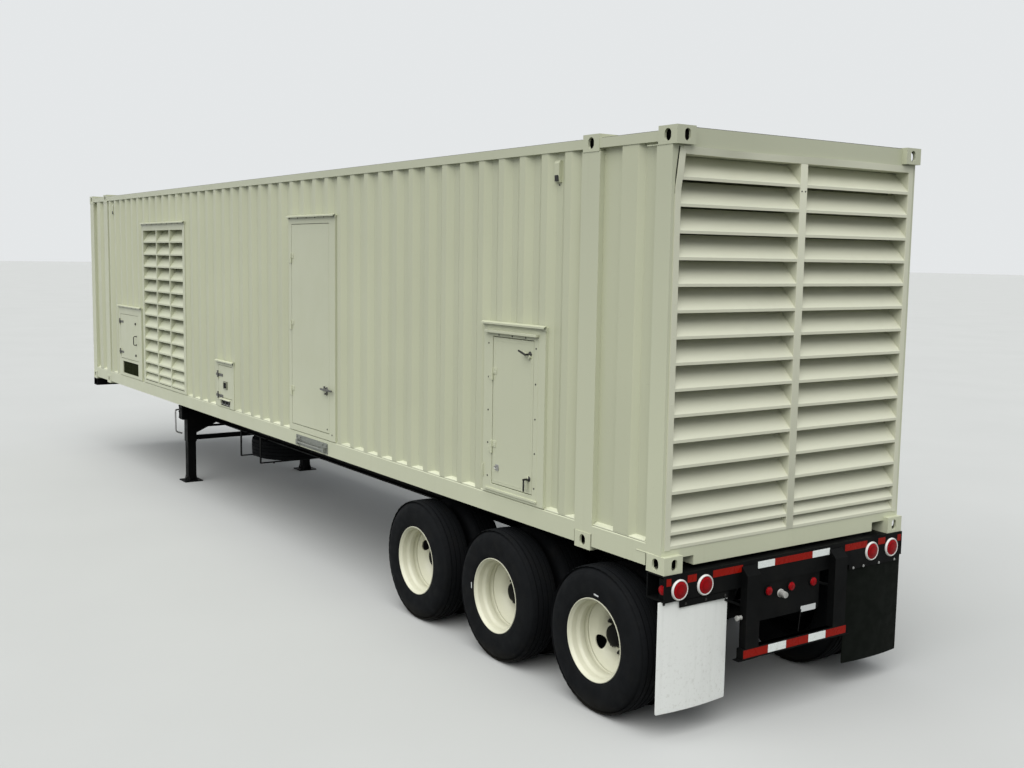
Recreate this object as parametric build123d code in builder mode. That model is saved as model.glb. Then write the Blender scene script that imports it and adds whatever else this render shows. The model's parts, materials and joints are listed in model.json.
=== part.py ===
from build123d import *
from math import cos, radians, sin
import os

os.makedirs("parts", exist_ok=True)

# A diesel generator set housed in a 45 ft high cube enclosure on its own tri-axle chassis.
# +X runs to the rear louvre end, -Y is the side with the service panels, z = 0 is the ground.
# Millimetres throughout. "Outward" means away from the enclosure's middle.

NEAR, FAR = -1, 1

# Enclosure
box_length = 13716
box_width = 2438
box_height = 2896
deck_height = 1130
bumper_reach = 72
wall_thickness = 100
skin_inset = 10
frame_inset = 4
rear_recess = 42
flute_pitch = 281
flute_crest = 72
flute_slope = 68
flute_depth = 36
flute_phase = 71

# Corner castings and the lifting castings at the 40 ft places
casting_length = 178
casting_width = 162
casting_height = 118
casting_wall = 18
lift_spacing_x = 11985
lift_spacing_y = 2259
slot_length = 124.5
slot_width = 63.5
side_hole_height = 79.5
end_hole_width = 51

# Posts, rails, sills and headers
post_length = 193
post_width = 72
post_wall = 6
lift_post_length = 200
rail_wall = 6
rail_edge = 14
bottom_rail_low = 30
sill_top = 190
top_rail_low = 2800
top_rail_width = 64
top_rail_height = 66
end_beam_thickness = 100
rear_frame_depth = 148
rear_sill_height = 153
rear_header_low = 2727

# Floor and roof
floor_thickness = 68
joist_pitch = 600
joist_flange = 45
joist_wall = 5
tunnel_width = 1030
tunnel_length = 3350
tunnel_cheek = 10
roof_thickness = 60
roof_pitch = 209
roof_depth = 20

# Openings in the near wall, from the enclosure's middle: start, end, height of the top over the deck
intake_span = (-4180, -2380, 2430)
cable_span = (-5385, -4275, 1232)
fuel_span = (-1260, -710, 745)
door_span = (907, 2010, 2430)
access_span = (4690, 5510, 1540)

# Doors: leaf start, end, bottom and top over the deck
door_leaf_box = (980, 1870, 260, 2350)
access_leaf_box = (4822, 5362, 270, 1430)
cable_leaf_box = (-5300, -4450, 452, 1107)
fuel_leaf_box = (-1205, -762, 306, 690)
cable_mesh_box = (-5210, -4455, 230, 410)
fuel_port_box = (-1142, -835, 204, 276)
leaf_gap = 6
door_thickness = 50
panel_thickness = 25
hinge_radius = 9
hinge_pin_radius = 4
hinge_length = 50
hinge_flag = 55
hinge_sheet = 4
pin_clearance = 0.05
canopy_reach = 30
canopy_sheet = 4
canopy_drop = 9
canopy_leg = 26
canopy_overhang = 12
handle_place = (1800, 700)
lever_rose_radius = 25
lever_radius = 8
lever_stand = 48
lever_length = 132
lever_tail = 30
latch_boss_radius = 16
latch_width = 14
latch_length = 85
pull_radius = 6
pull_stand = 42
cabinet_depth = 345
cabinet_wall = 6
cabinet_face = 40
cabinet_seam = 0.25
cable_hinge_rows = (543, 996)
fuel_hinge_rows = (320, 575)

# Louvres
intake_bars = (-3530, -2980)
intake_bar_width = 30
intake_full_rows = 11
intake_close_rows = (346, 238)
intake_pitch = 168.6
intake_border = (70, 80, 97, 36)
intake_depth = 100
blade_sheet = 5
blade_lip = 20
blade_rise = 145
blade_clearance = 3
rear_pitch = 169.55
rear_full_rows = 14
rear_first_blade = 2558
rear_close_rows = (253, 160)
rear_border = 7
rear_flange = 48
rear_flange_sheet = 6
mullion_width = 70
louvre_depth = 132

# Chassis
beam_depth = 330
beam_width = 110
beam_flange = 14
beam_web = 8
beam_spacing = 880
gooseneck_depth = 108
gooseneck_start = 2480
gooseneck_run = 650
tunnel_clearance = 40
cross_member_depth = 150
coupler_thickness = 10
coupler_length = 1500
kingpin_setback = 914
kingpin_radius = 25.4
kingpin_head_radius = 35.7
kingpin_neck = 36
kingpin_shoulder = 12
kingpin_head = 35
bolster_height = 180
bolster_length = 180
bolster_wall = 12
front_bolster_height = 110

# Running gear
axle_count = 3
axle_pitch = 1245
axle_setback = 643
tyre_radius = 525
tyre_width = 279
tyre_track = 2590
dual_spacing = 343
rim_radius = 286
rim_flange_radius = 298.5
rim_sheet = 10
rim_well = 19
disc_sheet = 14
disc_seat_radius = 154
disc_seam = 0.25
hub_pilot_radius = 110
hub_cap_radius = 80
hub_reach = 130
hub_bore = 40
hub_clearance = 0.3
spindle_clearance = 0.05
drum_radius = 188
drum_length = 285
hand_hole_radius = 47
hand_hole_circle = 196
hand_hole_turns = (160, 105, 209)
axle_tube_radius = 63.5
spring_half_length = 430
spring_width = 76
spring_leaf = 14
spring_leaves = 3
spring_camber = 70
hanger_wall = 10
hanger_length = 60

# Landing gear
leg_setback = 3558
leg_offset = 860
leg_tube = 130
leg_tube_wall = 8
leg_clearance = 0.5
leg_travel = 330
leg_overlap = 190
shoe_size = 250
shoe_thickness = 14
shoe_neck = 46

# Rear end
flap_inner = 612
flap_outer = 1242
flap_bottom = 185
flap_sheet = 8
flap_setback = 30
flap_bow = 22
bumper_bar = 76
bumper_half_width = 537
bumper_low = 452
upright_inner = 385
upright_outer = 517
panel_half_width = 305
panel_drop = 455
panel_setback = 14
panel_sheet = 8
lamp_radius = 73
lamp_depth = 14
small_lamp_radius = 30
small_lamp_depth = 16

# Spare wheel
spare_station = -1800
spare_gap = 8

# Places that follow from the sizes above
mid_x = -bumper_reach / 2
front_x = mid_x - box_length / 2
rear_x = mid_x + box_length / 2
half_width = box_width / 2
sill_z = deck_height + sill_top
top_z = deck_height + box_height
post_top = top_z - casting_height
frame_y = half_width - frame_inset
skin_y = half_width - skin_inset
lining_y = skin_y - wall_thickness
end_half = half_width - post_width
bottom_rail_width = frame_y - end_half
rail_low = deck_height + top_rail_low
rail_top = rail_low + top_rail_height
rear_face_x = rear_x - rear_recess
lift_x = lift_spacing_x / 2
bay_half = lift_x - lift_post_length / 2
corner_face = box_length / 2 - post_length


def block(x, y, z, mode=Mode.ADD):
    """A square-cornered block between two places along each axis."""
    places = [sorted(span) for span in (x, y, z)]
    middle = tuple((low + high) / 2 for low, high in places)
    with Locations(middle):
        Box(*(high - low for low, high in places), mode=mode)


def outline(points):
    """A closed face through the points, inside a sketch."""
    Polygon(*points, align=None)


def prism_x(points, x0, x1, mode=Mode.ADD):
    """A profile of (y, z) points, carried along X."""
    with BuildSketch(Plane.YZ.offset(x0)) as profile:
        outline(points)
    extrude(profile.sketch, amount=x1 - x0, mode=mode)


def prism_y(points, y0, y1, mode=Mode.ADD):
    """A profile of (x, z) points, carried along Y."""
    with BuildSketch(Plane.XZ.offset(-max(y0, y1))) as profile:
        outline(points)
    extrude(profile.sketch, amount=abs(y1 - y0), mode=mode)


def prism_z(points, z0, z1, mode=Mode.ADD):
    """A profile of (x, y) points, carried upward."""
    with BuildSketch(Plane.XY.offset(z0)) as profile:
        outline(points)
    extrude(profile.sketch, amount=z1 - z0, mode=mode)


def cylinder_along(axis, centre, radius, length, mode=Mode.ADD):
    """A round bar centred on a point, along "x", "y" or "z"."""
    turns = {"x": (0, 90, 0), "y": (90, 0, 0), "z": (0, 0, 0)}
    with Locations(Location(centre, turns[axis])):
        Cylinder(radius, length, mode=mode)


def save(piece, name):
    piece.part.label = name
    export_step(piece.part, f"parts/{name}.step")


# Corner castings: hollow blocks with an oblong hole in the side, end and top or bottom faces
def oblong_hole(face, length, width):
    """A hole through one wall of a casting, from its outer face."""
    with BuildSketch(face) as hole:
        SlotOverall(length, width)
    extrude(hole.sketch, amount=-casting_wall, mode=Mode.SUBTRACT)


def casting(x_mid, side, level, x_end):
    outer_z = deck_height if level < 0 else top_z
    inner_z = outer_z - level * casting_height
    x = (x_mid - casting_length / 2, x_mid + casting_length / 2)
    y = (side * half_width, side * (half_width - casting_width))
    block(x, y, (outer_z, inner_z))
    inset = casting_wall
    block(
        (x[0] + inset, x[1] - inset),
        (y[0] - side * inset, y[1] + side * inset),
        (outer_z - level * inset, inner_z + level * inset),
        Mode.SUBTRACT,
    )
    hole_y = side * lift_spacing_y / 2
    hole_z = (outer_z + inner_z) / 2
    outer_face = Plane((x_mid, hole_y, outer_z), x_dir=(1, 0, 0), z_dir=(0, 0, level))
    oblong_hole(outer_face, slot_length, slot_width)
    side_face = Plane((x_mid, y[0], hole_z), x_dir=(0, 0, 1), z_dir=(0, side, 0))
    oblong_hole(side_face, side_hole_height, slot_width)
    if x_end:
        x_face = x_mid + x_end * casting_length / 2
        end_face = Plane((x_face, hole_y, hole_z), x_dir=(0, 0, 1), z_dir=(x_end, 0, 0))
        oblong_hole(end_face, side_hole_height, end_hole_width)


corner_mid = box_length / 2 - casting_length / 2

with BuildPart() as corner_castings:
    for side in (NEAR, FAR):
        for level in (-1, 1):
            for end in (-1, 1):
                casting(mid_x + end * corner_mid, side, level, end)

with BuildPart() as lifting_castings:
    for side in (NEAR, FAR):
        for level in (-1, 1):
            for end in (-1, 1):
                casting(mid_x + end * lift_x, side, level, 0)


# Posts: folded steel tubes between the castings
def tube_z(x, y, z, wall):
    block(x, y, z)
    block(
        (min(x) + wall, max(x) - wall),
        (min(y) + wall, max(y) - wall),
        z,
        Mode.SUBTRACT,
    )


post_z = (deck_height + casting_height, post_top)

with BuildPart() as posts:
    for side in (NEAR, FAR):
        for end in (-1, 1):
            outer = rear_face_x if end > 0 else front_x + frame_inset
            inner = mid_x + end * corner_face
            tube_z((outer, inner), (side * frame_y, side * end_half), post_z, post_wall)
            x = (mid_x + end * bay_half, mid_x + end * (bay_half + lift_post_length))
            tube_z(x, (side * frame_y, side * end_half), post_z, post_wall)


# Side rails run between the posts below and between the castings above
def rail(x, side, width, z, wall):
    outer_y, inner_y = side * frame_y, side * (frame_y - width)
    low, high = z
    block(x, (outer_y, inner_y), z)
    block(
        x,
        (outer_y - side * wall, inner_y + side * wall),
        (low + wall, high - wall),
        Mode.SUBTRACT,
    )


outer_bay = (bay_half + lift_post_length, corner_face)
side_bays = (
    (mid_x - outer_bay[1], mid_x - outer_bay[0]),
    (mid_x - bay_half, mid_x + bay_half),
    (mid_x + outer_bay[0], mid_x + outer_bay[1]),
)
lift_end = lift_x + casting_length / 2
lift_start = lift_x - casting_length / 2
corner_start = box_length / 2 - casting_length
top_bays = (
    (mid_x - corner_start, mid_x - lift_end),
    (mid_x - lift_start, mid_x + lift_start),
    (mid_x + lift_end, mid_x + corner_start),
)

with BuildPart() as bottom_side_rails:
    for side in (NEAR, FAR):
        for bay in side_bays:
            rail(bay, side, bottom_rail_width, (deck_height + bottom_rail_low, sill_z), rail_wall)
            prism_x(
                [
                    (side * frame_y, sill_z),
                    (side * frame_y, sill_z - rail_edge),
                    (side * (frame_y - rail_edge), sill_z),
                ],
                *bay,
                Mode.SUBTRACT,
            )

with BuildPart() as top_side_rails:
    for side in (NEAR, FAR):
        for bay in top_bays:
            rail(bay, side, top_rail_width, (rail_low, rail_top), rail_wall)

# End sills and headers: the rear sill has a notch beside each casting, the front one the tunnel
casting_y = half_width - casting_width
sill_low = deck_height + 27
notch_start = 920
notch_top = deck_height + 93
rear_sill_top = deck_height + rear_sill_height
header_low = deck_height + rear_header_low
header_top = top_z - 6
front_sill_x = front_x + frame_inset


def mirrored(points):
    """Points of a right half, and the same for the left half in closing order."""
    return points + [(-y, z) for y, z in reversed(points)]


with BuildPart() as end_beams:
    prism_x(
        mirrored(
            [
                (notch_start, sill_low),
                (notch_start, notch_top),
                (casting_y, notch_top),
                (casting_y, deck_height + casting_height),
                (end_half, deck_height + casting_height),
                (end_half, rear_sill_top),
            ]
        ),
        rear_face_x - rear_frame_depth,
        rear_face_x,
    )
    prism_x(
        mirrored(
            [
                (tunnel_width / 2, deck_height + sill_top - floor_thickness),
                (tunnel_width / 2, deck_height + bottom_rail_low),
                (casting_y, deck_height + bottom_rail_low),
                (casting_y, deck_height + casting_height),
                (end_half, deck_height + casting_height),
                (end_half, sill_z),
            ]
        ),
        front_sill_x,
        front_sill_x + end_beam_thickness,
    )
    for low, x0, x1 in (
        (header_low, rear_face_x - rear_frame_depth, rear_face_x),
        (post_top - 40, front_sill_x, front_sill_x + end_beam_thickness),
    ):
        prism_x(
            mirrored(
                [
                    (end_half, low),
                    (end_half, post_top),
                    (casting_y, post_top),
                    (casting_y, header_top),
                ]
            ),
            x0,
            x1,
        )

# Floor with the gooseneck tunnel's cheeks under it, and the joists that carry it
floor_x = (front_sill_x + end_beam_thickness, rear_face_x - rear_frame_depth)
floor_z = (sill_z - floor_thickness, sill_z)
tunnel_end = front_x + tunnel_length
joist_z = (deck_height + bottom_rail_low, floor_z[0])

with BuildPart() as floor_deck:
    block(floor_x, (-end_half, end_half), floor_z)
    for side in (NEAR, FAR):
        cheek = (side * tunnel_width / 2, side * (tunnel_width / 2 + tunnel_cheek))
        block((floor_x[0], tunnel_end), cheek, joist_z)
    block(
        (tunnel_end, tunnel_end + tunnel_cheek),
        (-tunnel_width / 2 - tunnel_cheek, tunnel_width / 2 + tunnel_cheek),
        joist_z,
    )


def joist(x, y0, y1):
    """A channel across the enclosure, open towards the rear."""
    low, high = joist_z
    prism_y(
        [
            (x, low),
            (x + joist_flange, low),
            (x + joist_flange, low + joist_wall),
            (x + joist_wall, low + joist_wall),
            (x + joist_wall, high - joist_wall),
            (x + joist_flange, high - joist_wall),
            (x + joist_flange, high),
            (x, high),
        ],
        y0,
        y1,
    )


joist_count = int((floor_x[1] - floor_x[0]) / joist_pitch)

with BuildPart() as floor_joists:
    for i in range(1, joist_count):
        x = floor_x[0] + i * joist_pitch
        if x + joist_flange < tunnel_end:
            for side in (NEAR, FAR):
                joist(x, side * (tunnel_width / 2 + tunnel_cheek), side * end_half)
        elif x > tunnel_end + tunnel_cheek:
            joist(x, -end_half, end_half)


# Roof with ribs across it, between the top rails and the headers
def wave(start, end, pitch, crest, slope, depth, phase):
    """Places and depths of a folded sheet's corners between start and end."""

    def depth_at(x):
        along = (x - phase) % pitch
        if along <= crest:
            return 0
        if along < crest + slope:
            return depth * (along - crest) / slope
        if along <= pitch - slope:
            return depth
        return depth * (pitch - along) / slope

    corners = []
    turn = phase + pitch * int((start - phase) / pitch - 2)
    while turn < end:
        corners += [turn, turn + crest, turn + crest + slope, turn + pitch - slope]
        turn += pitch
    places = [start] + [x for x in corners if start + 1 < x < end - 1] + [end]
    return [(x, depth_at(x)) for x in places]


roof_top = rail_top - 6
roof_y = frame_y - top_rail_width

with BuildPart() as roof_panel:
    rib = roof_pitch / 4
    ribs = wave(floor_x[0], floor_x[1], roof_pitch, rib, rib, roof_depth, mid_x)
    base = roof_top - roof_thickness
    prism_y(
        [(x, roof_top - drop) for x, drop in ribs] + [(floor_x[1], base), (floor_x[0], base)],
        -roof_y,
        roof_y,
    )
    for side in (NEAR, FAR):
        for x in (-corner_mid, -lift_x, lift_x, corner_mid):
            block(
                (mid_x + x - casting_length / 2, mid_x + x + casting_length / 2),
                (side * roof_y, side * casting_y),
                (base, roof_top),
                Mode.SUBTRACT,
            )


# Side walls: fluted steel outside, flat sound lining inside, split beside and over each opening
def side_panel(side, start, end, z0, z1):
    corners = wave(
        mid_x + start,
        mid_x + end,
        flute_pitch,
        flute_crest,
        flute_slope,
        flute_depth,
        mid_x + flute_phase,
    )
    prism_z(
        [(x, side * (skin_y - drop)) for x, drop in corners]
        + [(mid_x + end, side * lining_y), (mid_x + start, side * lining_y)],
        z0,
        z1,
    )


def bay_panel(side, end):
    """The short bay beyond the lifting post, with one broad flute pressed outward."""
    start, stop = outer_bay
    crest = (start + 225, start + 385)
    profile = [
        (start, skin_y - flute_depth),
        (crest[0] - 40, skin_y - flute_depth),
        (crest[0], skin_y),
        (crest[1], skin_y),
        (crest[1] + 40, skin_y - flute_depth),
        (stop, skin_y - flute_depth),
        (stop, lining_y),
        (start, lining_y),
    ]
    prism_z([(mid_x + end * x, side * y) for x, y in profile], sill_z, rail_low)


near_openings = (cable_span, intake_span, fuel_span, door_span, access_span)
far_openings = (intake_span, door_span)


def wall_panels(side, openings):
    edges = [-bay_half] + [x for start, end, _ in openings for x in (start, end)] + [bay_half]
    for start, end in zip(edges[::2], edges[1::2]):
        side_panel(side, start, end, sill_z, rail_low)
    for end in (-1, 1):
        bay_panel(side, end)


def wall_heads(side, openings):
    for start, end, top in openings:
        side_panel(side, start, end, deck_height + top, rail_low)


with BuildPart() as near_wall_panels:
    wall_panels(NEAR, near_openings)

with BuildPart() as near_wall_heads:
    wall_heads(NEAR, near_openings)

with BuildPart() as far_wall_panels:
    wall_panels(FAR, far_openings)

with BuildPart() as far_wall_heads:
    wall_heads(FAR, far_openings)

# Front wall, closed and fluted
front_flute_pitch = 250
front_flute_depth = 45

with BuildPart() as front_wall:
    quarter = front_flute_pitch / 4
    corners = wave(-end_half, end_half, front_flute_pitch, quarter, quarter, front_flute_depth, 0)
    face = front_x + skin_inset
    prism_z(
        [(face + drop, y) for y, drop in corners]
        + [(face + wall_thickness, end_half), (face + wall_thickness, -end_half)],
        sill_z,
        post_top - 40,
    )


# Frames: a surround in the wall's whole thickness, with a rain canopy over it
def surround(side, span, holes, face_extra=0):
    """A block that fills a wall opening, less its holes, each as start, end, bottom and top."""
    start, end, top = span
    outer = half_width + face_extra
    block((mid_x + start, mid_x + end), (side * outer, side * lining_y), (sill_z, deck_height + top))
    for x0, x1, z0, z1 in holes:
        block(
            (mid_x + x0, mid_x + x1),
            (side * (outer + 1), side * (lining_y - 1)),
            (deck_height + z0, deck_height + z1),
            Mode.SUBTRACT,
        )
    canopy(side, start, end, top)


def canopy(side, start, end, top):
    """A folded rain strip: an upright leg on the frame's face and a sloping lip."""
    z = deck_height + top
    face = half_width
    reach = face + canopy_reach
    sheet = canopy_sheet
    profile = [
        (face, z - canopy_leg),
        (face, z + canopy_drop + sheet),
        (face + sheet, z + canopy_drop + sheet),
        (reach, z + sheet),
        (reach, z - canopy_drop),
        (reach - sheet, z - canopy_drop),
        (reach - sheet, z),
        (face + sheet, z + canopy_drop),
        (face + sheet, z - canopy_leg),
    ]
    x = (mid_x + start - canopy_overhang, mid_x + end + canopy_overhang)
    prism_x([(side * y, z) for y, z in profile], *x)


def doorway(leaf):
    x0, x1, z0, z1 = leaf
    return (x0 - leaf_gap, x1 + leaf_gap, z0 - leaf_gap, z1 + leaf_gap)


def hinge_places(leaf, rows):
    """Hinges along a leaf's left edge: a number of them shared out evenly, or rows at given heights."""
    x0, _, z0, z1 = leaf
    if isinstance(rows, int):
        step = (z1 - z0) / rows
        rows = [z0 + (i + 0.5) * step for i in range(rows)]
    return [(x0 - leaf_gap / 2, z) for z in rows]


def hinge_axis_y(side):
    return side * (half_width + hinge_radius)


def hinge_seats(side, leaf, rows):
    """Lower knuckles with their pins and flags, on the frame."""
    y = hinge_axis_y(side)
    for x, z in hinge_places(leaf, rows):
        x, z = mid_x + x, deck_height + z
        low = z - hinge_length
        cylinder_along("z", (x, y, z - hinge_length / 2), hinge_radius, hinge_length)
        cylinder_along("z", (x, y, z + hinge_length * 0.35), hinge_pin_radius, hinge_length * 0.7)
        face = side * half_width
        block((x - hinge_flag, x), (face, face + side * hinge_sheet), (low, z))


def hinge_knuckles(side, leaf, rows):
    """Upper knuckles and flags, on the leaf, each bored for its pin."""
    y = hinge_axis_y(side)
    for x, z in hinge_places(leaf, rows):
        x, z = mid_x + x, deck_height + z + 1
        face = side * half_width
        block((x, x + hinge_flag), (face, face + side * hinge_sheet), (z, z + hinge_length))
        middle = (x, y, z + hinge_length / 2)
        cylinder_along("z", middle, hinge_radius, hinge_length)
        cylinder_along("z", middle, hinge_pin_radius + pin_clearance, hinge_length, Mode.SUBTRACT)


def leaf_solid(side, leaf, thickness):
    x0, x1, z0, z1 = leaf
    block(
        (mid_x + x0, mid_x + x1),
        (side * half_width, side * (half_width - thickness)),
        (deck_height + z0, deck_height + z1),
    )
    uprights = faces().filter_by(Axis.Y).sort_by(Axis.Y)
    outer = uprights[0] if side < 0 else uprights[-1]
    fillet(outer.edges(), radius=3)


left_border, right_border, top_border, bottom_border = intake_border


def intake_bays():
    start, end, top = intake_span
    edges = [start + left_border]
    for bar in intake_bars:
        edges += [bar - intake_bar_width / 2, bar + intake_bar_width / 2]
    edges.append(end - right_border)
    return list(zip(edges[::2], edges[1::2]))


intake_low = sill_top + bottom_border
intake_high = intake_span[2] - top_border

with BuildPart() as intake_louvre_frames:
    for side in (NEAR, FAR):
        holes = [(x0, x1, intake_low, intake_high) for x0, x1 in intake_bays()]
        surround(side, intake_span, holes)


def blade_profile(front, back, z, ceiling):
    """A folded blade: an upright lip in front and a slope that rises to the back, below a ceiling."""
    rise = min(blade_rise, ceiling - blade_clearance - z - blade_lip)
    return [
        (front, z),
        (front, z + blade_lip),
        (back, z + blade_lip + rise),
        (back, z + blade_lip + rise - blade_sheet * 1.5),
        (front - blade_sheet, z + blade_lip - blade_sheet * 0.5),
        (front - blade_sheet, z),
    ]


def intake_blades(side):
    front = half_width - 3
    rows = [intake_high - (row + 1) * intake_pitch for row in range(intake_full_rows)]
    for row in rows + list(intake_close_rows):
        z = deck_height + row
        profile = blade_profile(front, front - intake_depth, z, deck_height + intake_high)
        for x0, x1 in intake_bays():
            prism_x([(side * y, z) for y, z in profile], mid_x + x0, mid_x + x1)


with BuildPart() as near_intake_blades:
    intake_blades(NEAR)

with BuildPart() as far_intake_blades:
    intake_blades(FAR)

# Rear louvre: a flanged frame with a centre mullion, and blades across each half
louvre_low = rear_sill_top
louvre_high = header_low
louvre_half = end_half - rear_border

with BuildPart() as rear_louvre_frame:
    with BuildSketch(Plane.YZ.offset(rear_face_x - louvre_depth)):
        outline([(-end_half, louvre_low), (end_half, louvre_low), (end_half, louvre_high), (-end_half, louvre_high)])
        for side in (NEAR, FAR):
            inner, outer = side * mullion_width / 2, side * louvre_half
            hole = (inner + outer) / 2, (louvre_low + louvre_high) / 2
            with Locations(hole):
                Rectangle(
                    abs(outer - inner),
                    louvre_high - louvre_low - 2 * rear_border,
                    mode=Mode.SUBTRACT,
                )
    extrude(amount=louvre_depth)
    flange_x = (rear_face_x, rear_face_x + rear_flange_sheet)
    flange_top = louvre_high - rear_border + rear_flange
    for side in (NEAR, FAR):
        block(flange_x, (side * louvre_half, side * (louvre_half + rear_flange)), (louvre_low, flange_top))
    block(flange_x, (-louvre_half, louvre_half), (louvre_high - rear_border, flange_top))
    block(flange_x, (-mullion_width / 2, mullion_width / 2), (louvre_low, louvre_high - rear_border))

rear_rows = [rear_first_blade - i * rear_pitch for i in range(rear_full_rows)]
rear_rows += rear_close_rows

with BuildPart() as rear_louvre_blades:
    front = rear_face_x + rear_flange_sheet - 1
    back = rear_face_x - louvre_depth + 4
    for level in rear_rows:
        profile = blade_profile(front, back, deck_height + level, louvre_high - rear_border)
        for side in (NEAR, FAR):
            prism_y(profile, side * mullion_width / 2, side * louvre_half)

# Door frames, with the lower hinge knuckles on them
with BuildPart() as door_frames:
    for side in (NEAR, FAR):
        surround(side, door_span, [doorway(door_leaf_box)])
        hinge_seats(side, door_leaf_box, 3)
    surround(NEAR, access_span, [doorway(access_leaf_box)])
    hinge_seats(NEAR, access_leaf_box, 2)


# Cabinets: a thick face in the wall, with a box of five plates behind it, seamed where they meet
def cabinet(span, holes, leaf, hinge_rows):
    start, end, top = span
    inner_y = half_width - cabinet_depth
    z = (sill_z, deck_height + top)
    wall = cabinet_wall
    block((mid_x + start, mid_x + end), (-half_width, -inner_y), z)
    block(
        (mid_x + start + wall, mid_x + end - wall),
        (-half_width + cabinet_face, -inner_y - wall),
        (z[0] + wall, z[1] - wall),
        Mode.SUBTRACT,
    )
    for x0, x1, z0, z1 in holes:
        block(
            (mid_x + x0, mid_x + x1),
            (-half_width - 1, -half_width + cabinet_face + 1),
            (deck_height + z0, deck_height + z1),
            Mode.SUBTRACT,
        )
    x0, x1 = mid_x + start, mid_x + end
    seam, face_back, box_back = cabinet_seam, -half_width + cabinet_face, -inner_y - wall
    full_z = (z[0] - 1, z[1] + 1)
    block((x0 - 1, x1 + 1), (face_back, face_back + seam), full_z, Mode.SUBTRACT)
    block((x0 - 1, x1 + 1), (box_back - seam, box_back), full_z, Mode.SUBTRACT)
    for x in ((x0 + wall, x0 + wall + seam), (x1 - wall - seam, x1 - wall)):
        block(x, (face_back, box_back), full_z, Mode.SUBTRACT)
    canopy(NEAR, start, end, top)
    hinge_seats(NEAR, leaf, hinge_rows)


with BuildPart() as cable_cabinet:
    cabinet(cable_span, [doorway(cable_leaf_box), cable_mesh_box], cable_leaf_box, cable_hinge_rows)

with BuildPart() as fuel_cabinet:
    cabinet(fuel_span, [doorway(fuel_leaf_box), fuel_port_box], fuel_leaf_box, fuel_hinge_rows)

# Guard in the cable opening: bars both ways, in one welded piece
mesh_bar = 5
mesh_setback = 12

with BuildPart() as cable_guard:
    x0, x1, z0, z1 = cable_mesh_box
    x = (mid_x + x0, mid_x + x1)
    z = (deck_height + z0, deck_height + z1)
    face = -half_width + mesh_setback
    for i in range(13):
        at = x[0] + mesh_bar / 2 + i * (x[1] - x[0] - mesh_bar) / 12
        block((at - mesh_bar / 2, at + mesh_bar / 2), (face, face + mesh_bar), z)
    for i in range(4):
        at = z[0] + mesh_bar / 2 + i * (z[1] - z[0] - mesh_bar) / 3
        block(x, (face, face + mesh_bar), (at - mesh_bar / 2, at + mesh_bar / 2))


# Doors
def lever_handle(side, x, z):
    """A round rose on the leaf, a neck and a level lever."""
    face = half_width
    x, z = mid_x + x, deck_height + z
    cylinder_along("y", (x, side * (face + 4), z), lever_rose_radius, 8)
    cylinder_along("y", (x, side * (face + lever_stand / 2), z), lever_radius, lever_stand)
    middle = (x - lever_length / 2 + lever_tail, side * (face + lever_stand), z)
    cylinder_along("x", middle, lever_radius, lever_length)


def edge_latch(side, x, z, lean):
    """A small swinging lever on a round boss, leaning from the upright by some degrees."""
    face = half_width
    x, z = mid_x + x, deck_height + z
    cylinder_along("y", (x, side * (face + 9), z), latch_boss_radius, 18)
    away, up = sin(radians(lean)), cos(radians(lean))
    half = latch_width / 2
    profile = [
        (x + half * up, z - half * away),
        (x + half * up + latch_length * away, z - half * away + latch_length * up),
        (x - half * up + latch_length * away, z + half * away + latch_length * up),
        (x - half * up, z + half * away),
    ]
    prism_y(profile, side * (face + 12), side * (face + 20))


def pull_handle(x, z0, z1):
    """A bent round bar that stands off the leaf."""
    x, radius = mid_x + x, pull_radius
    for z in (z0, z1):
        middle = (x, -(half_width + pull_stand / 2), deck_height + z)
        cylinder_along("y", middle, radius, pull_stand)
    middle = (x, -(half_width + pull_stand), deck_height + (z0 + z1) / 2)
    cylinder_along("z", middle, radius, z1 - z0 + 2 * radius)


with BuildPart() as near_door:
    leaf_solid(NEAR, door_leaf_box, door_thickness)
    hinge_knuckles(NEAR, door_leaf_box, 3)

with BuildPart() as near_door_handle:
    lever_handle(NEAR, *handle_place)

with BuildPart() as far_door:
    leaf_solid(FAR, door_leaf_box, door_thickness)
    hinge_knuckles(FAR, door_leaf_box, 3)
    lever_handle(FAR, *handle_place)

with BuildPart() as access_door:
    leaf_solid(NEAR, access_leaf_box, door_thickness)
    hinge_knuckles(NEAR, access_leaf_box, 2)
    edge_latch(NEAR, 5318, 1312, -65)
    edge_latch(NEAR, 5318, 388, 180)

with BuildPart() as cable_panel_door:
    leaf_solid(NEAR, cable_leaf_box, panel_thickness)
    hinge_knuckles(NEAR, cable_leaf_box, cable_hinge_rows)
    for z in (993, 532):
        cylinder_along("y", (mid_x - 4550, -(half_width + 6), deck_height + z), 16, 12)
    pull_handle(-4520, 690, 815)

with BuildPart() as fuel_panel_door:
    leaf_solid(NEAR, fuel_leaf_box, panel_thickness)
    hinge_knuckles(NEAR, fuel_leaf_box, fuel_hinge_rows)
    block(
        (mid_x - 1030, mid_x - 917),
        (-half_width, -half_width - 12),
        (deck_height + 413, deck_height + 505),
    )

# Step plate on the bottom rail, under the door
with BuildPart() as step_plate:
    x = (mid_x + 1080, mid_x + 1835)
    z = (deck_height + 44, deck_height + 152)
    block(x, (-frame_y, -frame_y - 6), z)
    for at in (x[0] + 62, x[1] - 62):
        block((at - 20, at + 20), (-frame_y - 6, -frame_y - 34), (z[0] + 8, z[0] + 62))
    middle = ((x[0] + x[1]) / 2, -frame_y - 22, z[0] + 34)
    cylinder_along("x", middle, 11, x[1] - x[0] - 110)

# Small lamps in the walls' troughs, below the top rails
lamp_stations = (-5655, 5582)
lamp_width = 58
lamp_span = (2590, 2745)
lamp_body_depth = 30

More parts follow.
